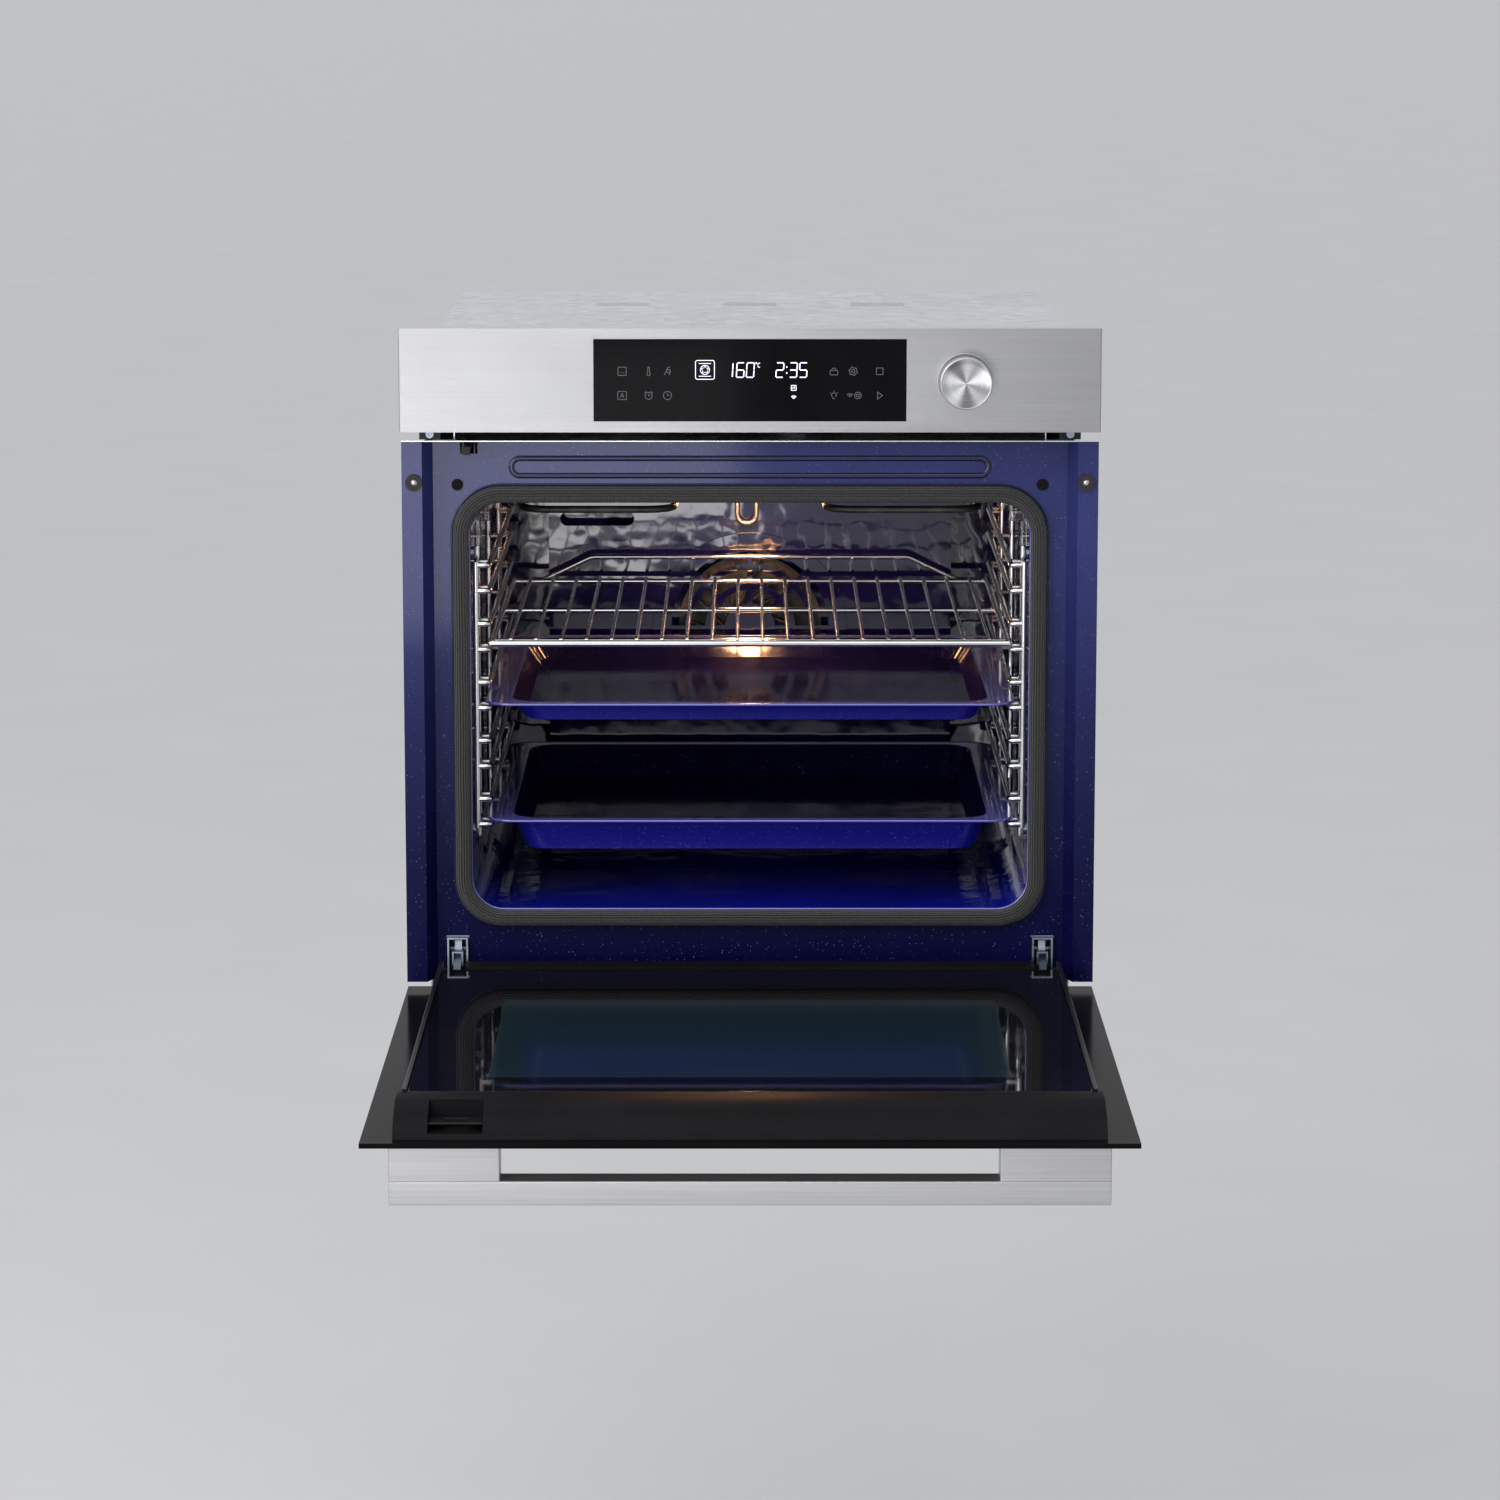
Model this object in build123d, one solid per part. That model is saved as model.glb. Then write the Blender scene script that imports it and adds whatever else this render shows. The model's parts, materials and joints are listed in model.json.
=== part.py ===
from build123d import *
import math
import os

# Built-in wall oven, 60 cm class, door open flat. Millimetres, +X right, +Y into the wall, +Z up.
# Origin: underside of the housing, on the cabinet's face plane (the back of the front flange),
# centred left to right.
# The door is laid out in its own measures. Rise is the distance from the hinge axis towards the
# door's top edge. Lift is the distance from the hinge axis towards the oven when the door is shut,
# or upwards when it is open.

# ---- overall sizes ----
front_overhang = 19.5
front_stand = 22.0
front_height_over_housing = 18.0
fascia_height = 88.4
housing_side_space = 37.0
housing_rear_space = 109.0
housing_sheet = 1.2
joint_gap = 0.2

# ---- cutters: over is past a face, reach is past a whole sheet ----
over = 1.0
reach = 5.0

# ---- louvres and housing seams ----
base_louvre_length = 60.0
base_louvre_columns = (-150.0, 0.0, 150.0)
base_louvre_rows = (150.0, 165.0, 180.0, 400.0, 415.0, 430.0)
base_rib_height = 10.0
side_louvre_front = 120.0
side_louvre_length = 60.0
side_louvre_drop = 87.0
side_louvre_pitch = 10.0
side_louvres = 5
side_lip = 14.0
side_lip_gap = 2.0
top_louvre_length = 50.0
top_louvre_columns = (-120.0, 0.0, 120.0)
top_louvre_rows = (400.0, 412.0, 424.0)
rear_louvre_low = 60.0
rear_louvre_length = 70.0
rear_louvre_pitch = 15.0
rear_louvres = 9
motor_vent_width = 80.0
motor_vent_pitch = 12.0
motor_vents = 5
louvre_width = 4.0
rear_screw_inset = 12.0
rear_screw_end = 40.0

# ---- front frame ----
frame_sheet = 1.5
frame_foot = 24.0
frame_head_space = 54.0
fascia_clearance = 10.6
frame_recess = 18.0
recess_inset = 17.5
recess_slope = 8.0
groove_inset = 34.0
groove_height = 20.0
groove_line = 5.0
groove_depth = 0.6
groove_drop = 23.8
frame_screw_inset = 10.5
frame_screw_drop = 35.0
frame_screw_radius = 2.6
grommet_radius = 7.2
grommet_neck = 4.6
grommet_height = 2.2
plug_outset = 10.0
plug_drop = 39.0
plug_radius = 5.0
plug_neck = 3.6
plug_height = 1.4

# ---- cavity ----
cavity_width = 482.0
cavity_height = 357.0
cavity_floor = 85.0
cavity_depth = 420.0
cavity_corner = 28.0
liner_sheet = 1.2
gasket_radius = 6.5
gasket_inset = 1.4
seal_gap = 0.4
blanket_side = 24.0
blanket_gap = 0.3
blanket_floor_space = 15.0
blanket_front = 30.0

# ---- fan baffle and convection fan ----
baffle_side_gap = 50.0
baffle_head_gap = 30.0
baffle_foot = 7.0
baffle_stand = 27.0
baffle_return = 1.2
grille_rise = 183.0
grille_rings = ((24.0, 37.0), (43.0, 56.0), (62.0, 75.0))
grille_ribs = 8
grille_rib = 5.0
grille_rim = (80.0, 92.0)
grille_rim_height = 2.5
slot_inset = 46.0
slot_drop = 39.0
slot_length = 70.0
slot_width = 13.0
impeller_radius = 68.0
impeller_depth = 15.0
impeller_blades = 16
impeller_hub = 11.0
fan_shaft = 3.0
fan_motor_radius = 34.0
fan_motor_length = 58.0
fan_motor_stand = 27.0
running_fit = 0.05
air_clearance = 3.0

# ---- heaters, lamp and sensor ----
heater_tube = 3.25
ring_heater_radius = 86.0
ring_heater_leg = 12.0
heater_terminal = 18.0
grill_drop = 15.0
grill_side_gap = 41.0
grill_front_gap = 62.0
grill_rear_gap = 60.0
grill_leg = 40.0
grill_bend = 24.0
bottom_drop = 8.0
bottom_side_gap = 71.0
bottom_front_gap = 72.0
bottom_rear_gap = 58.0
bottom_passes = 4
lamp_rear_space = 138.0
lamp_radius = 24.0
lamp_wall = 1.5
lamp_height = 44.0
lens_drop = 6.0
bulb_radius = 9.0
bulb_length = 24.0
probe_x = -3.0
probe_width = 18.0
probe_drop = 72.0
probe_tube = 2.5
probe_gap = 8.0

# ---- side racks ----
rack_wire = 2.5
rack_post = 2.7
rack_spacer = 2.0
rack_levels = 5
rack_foot_space = 72.0
rack_head_space = 79.4
rack_pair = 22.5
rack_wall_gap = 1.5
rack_step = 6.1
rack_front_gap = 12.0
rack_rear_gap = 46.0
rack_post_inset = 22.0
rack_tail = 14.0
stud_radius = 5.5
stud_neck = 2.8

# ---- shelf and trays ----
slide_gap = 0.35
shelf_level = 3
shelf_rest = 1.5
shelf_front_gap = 9.0
shelf_rear_gap = 44.0
shelf_bar = 3.0
shelf_wire = 1.7
shelf_wires = 20
shelf_end_space = 19.9
shelf_second_bar = 12.0
shelf_mid_share = 0.5
guard_rise = 22.0
guard_inset = 77.0
guard_slope = 46.0
tray_sheet = 1.2
tray_rest = 5.5
tray_front_gap = 8.0
tray_rear_gap = 44.0
tray_rim = 22.0
tray_front_rim = 12.0
tray_corner = 26.0
tray_draft = 12.0
baking_level = 2
baking_depth = 18.0
deep_level = 0
deep_depth = 30.0

# ---- control fascia ----
fascia_sheet = 1.0
display_width = 265.0
display_height = 70.0
display_thick = 4.0
display_proud = 0.2
display_rise = 44.4
carrier_thick = 3.0
carrier_inset = 3.0
board_thick = 1.6
board_inset = 10.0
knob_inset = 115.5
knob_rise = 44.0
knob_radius = 22.0
knob_length = 22.5
knob_gap = 2.6
knob_edge = 1.6
bezel_wall = 1.1
bezel_height = 2.0
bezel_gap = 0.5
shaft_radius = 3.0
sleeve_radius = 4.5
sleeve_length = 11.0
encoder_size = 15.0
encoder_depth = 16.0
shaft_hole = 5.5
fascia_tab_inset = 24.5
fascia_tab = 18.0
fascia_tab_drop = 8.5
screw_radius = 2.0
screw_head = 3.4
screw_head_height = 2.2
screw_length = 8.0
screw_slot = 0.8

# ---- cooling air ----
duct_side_gap = 24.0
duct_height = 24.0
duct_rear_space = 375.0
duct_sheet = 1.2
blower_rear_space = 275.0
blower_radius = 78.0
blower_height = 50.0
blower_sink = 10.0
blower_mouth = 120.0
rotor_radius = 60.0
rotor_height = 38.0
rotor_blades = 20
rotor_bore = 28.0
blower_motor_radius = 28.0
blower_motor_height = 22.0

# ---- electronics and mains inlet ----
power_board_side_space = 88.0
power_board_rear_space = 277.0
power_board_width = 120.0
power_board_length = 150.0
power_board_drop = 24.0
power_parts = 3
terminal_side_space = 88.0
terminal_drop = 47.0
terminal_size = 60.0
terminal_depth = 34.0
inlet_radius = 9.0
inlet_flange = 13.0
inlet_bore = 5.0
inlet_proud = 2.5

# ---- door ----
hinge_y = -12.0
hinge_z = 24.0
glass_thick = 4.0
glass_face = -10.0
door_foot = -20.0
door_over_frame = 4.6
door_side_gap = 0.2
rail_inset = 28.5
rail_wall = 3.8
rail_lift = 20.0
rail_start = -5.0
rail_foot = 2.0
ledge_width = 3.2
ledge_thick = 3.4
pane_lift = 18.0
pane_start = 18.0
cap_length = 62.6
cap_overlap = 3.8
cap_seal_length = 23.0
cap_front_length = 44.0
cap_front_lift = 7.0
cap_end_length = 53.0
cap_wall = 2.2
middle_lift = 3.2
middle_thick = 3.0
middle_side_gap = 25.0
middle_bite = 3.6
bottom_rail_side_gap = 23.5
bottom_rail_wall = 4.0

# ---- door lock ----
lock_inset = 56.5
lock_drop = 4.75
lock_pivot_y = 75.0
hook_width = 6.0
hook_height = 3.5
hook_tip_y = -13.0
tooth_thick = 2.5
tooth_drop = 3.5
hook_boss = 4.4
lock_pin = 1.9
lock_wall = 1.2
lock_side_gap = 1.2
lock_notch_width = 15.0
lock_notch_height = 11.0
keeper_offset = 16.0
keeper_width = 42.0
keeper_floor = -2.0
keeper_lift = 3.5
keeper_plate = 1.5
keeper_length = 20.0
keeper_window = 18.0
keeper_window_length = 9.0

# ---- hinges ----
hinge_outset = 13.5
arm_thick = 6.0
arm_boss = 5.4
pin_radius = 3.0
case_width = 14.5
case_wall = 1.5
case_start = -8.0
case_length = 190.0
case_low = -5.4
case_high = 11.0
case_web_start = 10.0
receiver_width = 18.0
receiver_wall = 1.5
receiver_front = 12.0
receiver_depth = 64.0
receiver_low = 27.5
receiver_high = 60.0
receiver_clearance = 1.0
arm_tail_low = 35.0
arm_tail_high = 55.0
arm_tail_rear = 70.0
arm_knee_y = 24.0
rivet_radius = 3.0
clip_y = 13.0
clip_z = 37.0
clip_pin = 1.5
clip_rise = 11.0
clip_plate = 1.4
clip_gap = 0.4
clip_half = 3.0
rod_radius = 2.2
rod_start = 26.0
rod_length = 118.0
rod_lift = 2.8
rod_collar = 5.2
rod_collar_rise = 56.0
rod_collar_length = 3.0
spring_wire = 0.9
spring_radius = 4.1
spring_turns = 22
case_stop_rise = 160.0
case_stop = 3.0

# ---- handle ----
handle_inset = 22.0
handle_stand = 27.0
handle_bar_depth = 19.0
handle_bar_height = 23.0
handle_top_gap = 4.6
handle_bracket_width = 85.0
handle_edge = 1.2
handle_screw_space = 20.6
handle_screw_offsets = (22.0, 62.0)
handle_screw_radius = 2.1
handle_screw_hole = 2.6
handle_screw_head = 4.0
handle_screw_head_height = 2.4
handle_screw_bite = 12.0

# ---- boards, rotors and other small parts ----
fan_sheet = 1.2
impeller_blade_turn = 24.0
grill_inner_gap = 10.0
board_part_start = 20.0
board_part_pitch = 42.0
board_part_inset = 30.0
board_part_width = 40.0
board_part_length = 26.0
board_part_height = 14.0
board_stand_inset = 6.0
board_stand_radius = 3.0
capacitor_x = 36.0
capacitor_height = 18.0
capacitor_radius = 9.0
inlet_neck = 10.0
rotor_hub_height = 14.0
rotor_hub = 9.0
rotor_rim = 13.0
rotor_blade_length = 12.0
rotor_blade_thick = 1.0
rotor_blade_turn = 35.0
terminal_wall = 2.0
terminal_blocks = (-14.0, 0.0, 14.0)
terminal_block_width = 8.0
terminal_block_height = 24.0
terminal_block_depth = 11.0
motor_tab_length = 14.0
motor_tab_thick = 2.0
motor_tab_height = 16.0
motor_bore_depth = 14.0
shaft_into_motor = 12.0
motor_chamfer = 3.0
lens_flange_lip = 4.0
lens_flange_height = 2.5
lens_wall = 2.5
lens_inset = 3.0
lock_housing_foot = 15.0
lock_housing_rear = 14.0
fascia_edge_radius = 1.5
knob_socket_share = 0.6

# ---- values worked out from the sizes above ----
half_cavity = cavity_width / 2
half_housing = half_cavity + housing_side_space
housing_width = 2 * half_housing
half_front = half_housing + front_overhang
front_width = 2 * half_front
front_y = -front_stand
cavity_top = cavity_floor + cavity_height
cavity_rear = frame_recess + cavity_depth
housing_depth = cavity_rear + housing_rear_space
frame_top = cavity_top + frame_head_space
fascia_foot = frame_top + fascia_clearance
front_height = fascia_foot + fascia_height
housing_height = front_height - front_height_over_housing
housing_top_in = housing_height - housing_sheet
frame_face_y = frame_recess - frame_sheet
gasket_squash = frame_face_y - (hinge_y + pane_lift) - seal_gap
liner_outer = half_cavity + liner_sheet
liner_top = cavity_top + liner_sheet
recess_width = 2 * (half_front - recess_inset)
groove_width = cavity_width - 2 * groove_inset
groove_centre_z = frame_top - groove_drop
frame_screw_x = half_front - frame_screw_inset
frame_screw_z = frame_top - frame_screw_drop
plug_x = half_cavity + plug_outset
plug_z = frame_top - plug_drop
baffle_y = cavity_rear - baffle_stand
baffle_width = cavity_width - 2 * baffle_side_gap
baffle_height = cavity_height - baffle_foot - baffle_head_gap
grille_z = cavity_floor + grille_rise
slot_x = slot_inset - baffle_width / 2
slot_z = cavity_top - baffle_head_gap - slot_drop
grill_width = cavity_width - 2 * grill_side_gap
grill_front = frame_recess + grill_front_gap
grill_rear = cavity_rear - grill_rear_gap
bottom_width = cavity_width - 2 * bottom_side_gap
bottom_front = frame_recess + bottom_front_gap
bottom_rear = cavity_rear - bottom_rear_gap
lamp_y = cavity_rear - lamp_rear_space
rack_first = cavity_floor + rack_foot_space
rack_pitch = (cavity_height - rack_foot_space - rack_head_space) / (rack_levels - 1)
rack_post_x = half_cavity - rack_wall_gap - rack_post
rack_rail_x = rack_post_x - rack_post - rack_step - rack_wire
rack_front = frame_recess + rack_front_gap
rack_rear = cavity_rear - rack_rear_gap
shelf_width = 2 * (rack_rail_x + shelf_rest)
shelf_front = frame_recess + shelf_front_gap
shelf_rear = cavity_rear - shelf_rear_gap
shelf_wire_pitch = (shelf_width - 2 * shelf_end_space) / (shelf_wires - 1)
guard_width = shelf_width - 2 * guard_inset
tray_width = 2 * (rack_rail_x + tray_rest)
tray_front = frame_recess + tray_front_gap
tray_rear = cavity_rear - tray_rear_gap
display_centre_z = fascia_foot + display_rise
knob_x = half_front - knob_inset
knob_z = fascia_foot + knob_rise
bezel_radius = knob_radius + bezel_gap + bezel_wall
fascia_tab_x = half_front - fascia_tab_inset
duct_width = housing_width - 2 * duct_side_gap
duct_depth = housing_depth - duct_rear_space
blower_y = housing_depth - blower_rear_space
blower_foot = frame_top - blower_sink
power_board_x = power_board_side_space - half_housing
power_board_y = housing_depth - power_board_rear_space
terminal_x = half_housing - terminal_side_space
terminal_z = housing_height - terminal_drop
glass_inner = glass_face + glass_thick
door_rise = frame_top - hinge_z + door_over_frame
rail_outer_x = half_front - rail_inset
middle_width = 2 * (rail_outer_x - middle_side_gap)
bottom_rail_width = 2 * (rail_outer_x - bottom_rail_side_gap)
cap_start = door_rise - cap_length
cap_width = 2 * (rail_outer_x + cap_overlap)
cap_seal_end = cap_start + cap_seal_length
cap_front_rise = cap_start + cap_front_length
cap_end_rise = cap_start + cap_end_length
lock_x = lock_inset - half_front
lock_z = frame_top - lock_drop
keeper_x = lock_x + keeper_offset
keeper_start = cap_seal_end
keeper_end = keeper_start + keeper_length
hinge_x = half_cavity + hinge_outset
handle_width = front_width - 2 * handle_inset
handle_front_rise = door_rise - handle_top_gap
handle_screw_rise = door_rise - handle_screw_space


def block(x0, x1, y0, y1, z0, z1):
    """A box between two corners."""
    size = Box(x1 - x0, y1 - y0, z1 - z0)
    return Pos((x0 + x1) / 2, (y0 + y1) / 2, (z0 + z1) / 2) * size


def door_block(x0, x1, rise0, rise1, lift0, lift1):
    """A box in the open door's own measures."""
    return block(x0, x1, hinge_y - rise1, hinge_y - rise0, hinge_z + lift0, hinge_z + lift1)


def rod_x(x0, x1, y, z, radius):
    """A round bar along X."""
    return Pos((x0 + x1) / 2, y, z) * Rot(0, 90, 0) * Cylinder(radius, abs(x1 - x0))


def rod_y(x, y0, y1, z, radius):
    """A round bar along Y."""
    return Pos(x, (y0 + y1) / 2, z) * Rot(90, 0, 0) * Cylinder(radius, abs(y1 - y0))


def rod_z(x, y, z0, z1, radius):
    """A round bar along Z."""
    return Pos(x, y, (z0 + z1) / 2) * Cylinder(radius, abs(z1 - z0))


def facing_slab(x, z, width, height, corner, y0, y1):
    """A rounded rectangle seen from the front, as thick as y0 to y1."""
    outline = RectangleRounded(width, height, corner)
    return Pos(x, y1, z) * Rot(90, 0, 0) * extrude(outline, y1 - y0)


def upright_prism(points, x0, x1):
    """A prism along X whose outline is a list of (y, z) points."""
    outline = Plane.YZ * make_face(Polyline(*points, close=True))
    return Pos(x0, 0, 0) * extrude(outline, x1 - x0)


def bent_tube(points, bend, radius):
    """A round tube along straight runs joined by arcs."""
    path = FilletPolyline(*points, radius=bend)
    section = Plane(path @ 0, z_dir=path % 0) * Circle(radius)
    return sweep(section, path=path)


# ---------------------------------------------------------------- housing

def housing_base():
    half = half_housing
    plate = block(-half, half, -frame_sheet, housing_depth, 0, housing_sheet)
    ribs = []
    for side in (-1, 1):
        low, high = sorted((side * (half - housing_sheet), side * (half - 2 * housing_sheet)))
        ribs.append(block(low, high, receiver_front + receiver_depth, housing_depth - housing_sheet,
                          housing_sheet, base_rib_height))
    long, wide = base_louvre_length / 2, louvre_width / 2
    louvres = [block(x - long, x + long, y - wide, y + wide, -over, housing_sheet + over)
               for x in base_louvre_columns for y in base_louvre_rows]
    return plate + ribs - louvres


def housing_side(sign):
    outer = sign * half_housing
    inner = sign * (half_housing - housing_sheet)
    low, high = min(outer, inner), max(outer, inner)
    plate = block(low, high, frame_recess, housing_depth, housing_sheet, housing_height)
    plate += block(low, high, 0, frame_recess, frame_top + duct_sheet, housing_height)
    lip_inner = sign * (half_housing - side_lip)
    lip = block(min(inner, lip_inner), max(inner, lip_inner), 0, housing_sheet,
                frame_top + side_lip_gap, housing_top_in)
    first = housing_height - side_louvre_drop
    rows = [first + row * side_louvre_pitch for row in range(side_louvres)]
    rear = side_louvre_front + side_louvre_length
    louvres = [block(low - over, high + over, side_louvre_front, rear, z,
                     z + louvre_width) for z in rows]
    screw_hole = rod_y(sign * fascia_tab_x, -over, housing_sheet + over, screw_z(), screw_radius)
    return plate + lip - louvres - screw_hole


def housing_top():
    half = half_housing - housing_sheet
    plate = block(-half, half, 0, housing_depth, housing_top_in, housing_height)
    long, wide = top_louvre_length / 2, louvre_width / 2
    louvres = [block(x - long, x + long, y - wide, y + wide, housing_top_in - over,
                     housing_height + over)
               for x in top_louvre_columns for y in top_louvre_rows]
    return plate - louvres


def housing_rear():
    half = half_housing - housing_sheet
    plate = block(-half, half, housing_depth - housing_sheet, housing_depth, housing_sheet,
                  housing_top_in)
    near, far = housing_depth - reach, housing_depth + reach
    wide, vent_half = louvre_width / 2, motor_vent_width / 2
    inlet = rod_y(terminal_x, near, far, terminal_z, inlet_radius)
    columns = [column * rear_louvre_pitch for column in centred(rear_louvres)]
    louvres = [block(x - wide, x + wide, near, far, rear_louvre_low,
                     rear_louvre_low + rear_louvre_length)
               for x in columns]
    rows = [grille_z + row * motor_vent_pitch for row in centred(motor_vents)]
    motor_vent = [block(-vent_half, vent_half, near, far, z - wide, z + wide) for z in rows]
    screw_holes = [rod_y(x, near, far, z, screw_radius) for x, z in rear_screw_places()]
    return plate - inlet - louvres - motor_vent - screw_holes


def centred(count):
    """Whole steps spread evenly about zero, such as -2 to 2 for five."""
    return [step - (count - 1) / 2 for step in range(count)]


def rear_screw_places():
    edge = half_housing - rear_screw_inset
    heights = (rear_screw_end, housing_height / 2, housing_height - rear_screw_end)
    return [(side * edge, z) for side in (-1, 1) for z in heights]


def panel_screw(x, y, z, outward):
    """One screw whose head sits on the face at y and looks along outward, -1 or 1 on the Y axis."""
    head = rod_y(x, y, y + outward * screw_head_height, z, screw_head)
    shank = rod_y(x, y - outward * screw_length, y, z, screw_radius)
    arm = screw_head * 0.6
    low, high = sorted((y + outward * screw_head_height * 0.5,
                        y + outward * (screw_head_height + over)))
    cross = block(x - arm, x + arm, low, high, z - screw_slot / 2, z + screw_slot / 2)
    cross += block(x - screw_slot / 2, x + screw_slot / 2, low, high, z - arm, z + arm)
    return head + shank - cross


def panel_screws():
    screws = [panel_screw(x, housing_depth, z, 1) for x, z in rear_screw_places()]
    screws += [panel_screw(sign * fascia_tab_x, -housing_sheet, screw_z(), -1) for sign in (-1, 1)]
    return Compound(children=screws)


# ---------------------------------------------------------------- front frame

def recess_outline():
    edge = recess_width / 2
    inner = edge - recess_slope
    front = [(-half_front, -frame_sheet), (-edge, -frame_sheet), (-inner, frame_face_y),
             (inner, frame_face_y), (edge, -frame_sheet), (half_front, -frame_sheet)]
    wall = 1.0
    back = [(half_front, 0), (edge + wall, 0), (inner + wall, frame_recess),
            (-inner - wall, frame_recess), (-edge - wall, 0), (-half_front, 0)]
    return front + back


def front_frame():
    outline = make_face(Polyline(*recess_outline(), close=True))
    body = Pos(0, 0, frame_foot) * extrude(outline, frame_top - frame_foot)
    mid_z = cavity_floor + cavity_height / 2
    opening = facing_slab(0, mid_z, cavity_width, cavity_height, cavity_corner,
                          frame_face_y - over, frame_recess + over)
    body -= opening
    near, far = frame_face_y - reach, frame_recess + reach
    for sign in (-1, 1):
        body -= rod_y(sign * frame_screw_x, -reach, reach, frame_screw_z, grommet_neck)
        body -= rod_y(sign * plug_x, near, far, plug_z, plug_neck)
        half = receiver_width / 2 + receiver_clearance
        body -= block(sign * hinge_x - half, sign * hinge_x + half, near, far,
                      receiver_low - receiver_clearance, receiver_high + receiver_clearance)
    notch = lock_notch_width / 2
    body -= block(lock_x - notch, lock_x + notch, near, far,
                  lock_z + hook_height - lock_notch_height, lock_z + hook_height)
    ring = facing_slab(0, groove_centre_z, groove_width, groove_height, groove_height / 2 - 0.1,
                       frame_face_y - over, frame_face_y + groove_depth)
    ring -= facing_slab(0, groove_centre_z, groove_width - 2 * groove_line,
                        groove_height - 2 * groove_line,
                        groove_height / 2 - groove_line - 0.1, frame_face_y - 2, frame_recess)
    return body - ring


def flange_grommets():
    grommets = []
    for sign in (-1, 1):
        x = sign * frame_screw_x
        head = rod_y(x, -frame_sheet - grommet_height, -frame_sheet, frame_screw_z, grommet_radius)
        neck = rod_y(x, -frame_sheet, 0, frame_screw_z, grommet_neck)
        grommets.append(head + neck - rod_y(x, -10, 5, frame_screw_z, frame_screw_radius))
    return Compound(children=grommets)


def frame_plugs():
    plugs = []
    for sign in (-1, 1):
        x = sign * plug_x
        head = rod_y(x, frame_face_y - plug_height, frame_face_y, plug_z, plug_radius)
        plugs.append(head + rod_y(x, frame_face_y, frame_recess + 3, plug_z, plug_neck))
    return Compound(children=plugs)


# ---------------------------------------------------------------- cavity

def cavity_liner():
    mid_z = cavity_floor + cavity_height / 2
    grown = 2 * liner_sheet
    shell = facing_slab(0, mid_z, cavity_width + grown, cavity_height + grown,
                        cavity_corner + liner_sheet,
                        frame_recess, cavity_rear + liner_sheet)
    shell -= facing_slab(0, mid_z, cavity_width, cavity_height, cavity_corner, frame_recess - over,
                         cavity_rear)
    shell -= rod_z(0, lamp_y, cavity_top - reach, liner_top + reach, lamp_radius + lamp_wall)
    shell -= rod_y(0, cavity_rear - reach, cavity_rear + reach, grille_z, fan_shaft + air_clearance)
    for x in (-ring_heater_leg, ring_heater_leg):
        shell -= rod_y(x, cavity_rear - reach, cavity_rear + reach, grille_z - ring_heater_radius,
                       heater_tube)
    for x in (-grill_leg, grill_leg):
        shell -= rod_y(x, cavity_rear - reach, cavity_rear + reach, grill_z(), heater_tube)
    for x in probe_leg_x():
        shell -= rod_z(x, probe_y(), cavity_top - reach, liner_top + reach, probe_tube)
    for x, y, z in stud_places():
        shell -= rod_x(x - 4, x + 4, y, z, stud_neck)
    return shell


def door_gasket():
    reach = gasket_inset + gasket_radius
    half_x = half_cavity + reach
    low = cavity_floor - reach
    high = cavity_top + reach
    corner = cavity_corner + reach
    y = frame_face_y - gasket_squash / 2
    outline = RectangleRounded(2 * half_x, high - low, corner)
    outline = Pos(0, 0, (low + high) / 2) * Rot(90, 0, 0) * outline
    path = Pos(0, y, 0) * outline.wire()
    start = Plane(path @ 0, x_dir=(0, 1, 0), z_dir=path % 0)
    section = start * RectangleRounded(gasket_squash, 2 * gasket_radius, gasket_squash / 2 - 0.1)
    return sweep(section, path=path)


def insulation_blanket():
    inner = liner_outer + blanket_gap
    top = liner_top + blanket_gap
    low = cavity_floor - liner_sheet - blanket_floor_space
    rear = cavity_rear + liner_sheet + blanket_gap
    shell = block(-inner - blanket_side, inner + blanket_side, blanket_front, rear + blanket_side,
                  low - blanket_side + 4, top + blanket_side)
    shell -= block(-inner, inner, blanket_front - over, rear, low, top)
    for sign in (-1, 1):
        half = receiver_width / 2 + receiver_clearance
        shell -= block(sign * hinge_x - half, sign * hinge_x + 40 * half, 0,
                       receiver_front + receiver_depth + 4, 0, receiver_high + 4)
        shell -= block(sign * hinge_x - 40 * half, sign * hinge_x + half, 0,
                       receiver_front + receiver_depth + 4, 0, receiver_high + 4)
    shell -= rod_z(0, lamp_y, top - reach, top + blanket_side + reach,
                   lamp_radius + lamp_wall + blanket_gap)
    shell -= rod_y(0, rear - reach, rear + blanket_side + reach, grille_z, fan_shaft + air_clearance)
    for x in (-ring_heater_leg, ring_heater_leg):
        shell -= rod_y(x, rear - reach, rear + blanket_side + reach, grille_z - ring_heater_radius,
                       heater_tube + blanket_gap)
    for x in (-grill_leg, grill_leg):
        shell -= rod_y(x, rear - reach, rear + blanket_side + reach, grill_z(),
                       heater_tube + blanket_gap)
    for x in probe_leg_x():
        shell -= rod_z(x, probe_y(), top - reach, top + blanket_side + reach, probe_tube + blanket_gap)
    return shell - studs_clearance()


def studs_clearance():
    return [rod_x(x - 4, x + 4, y, z, stud_neck + blanket_gap) for x, y, z in stud_places()]


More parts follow.
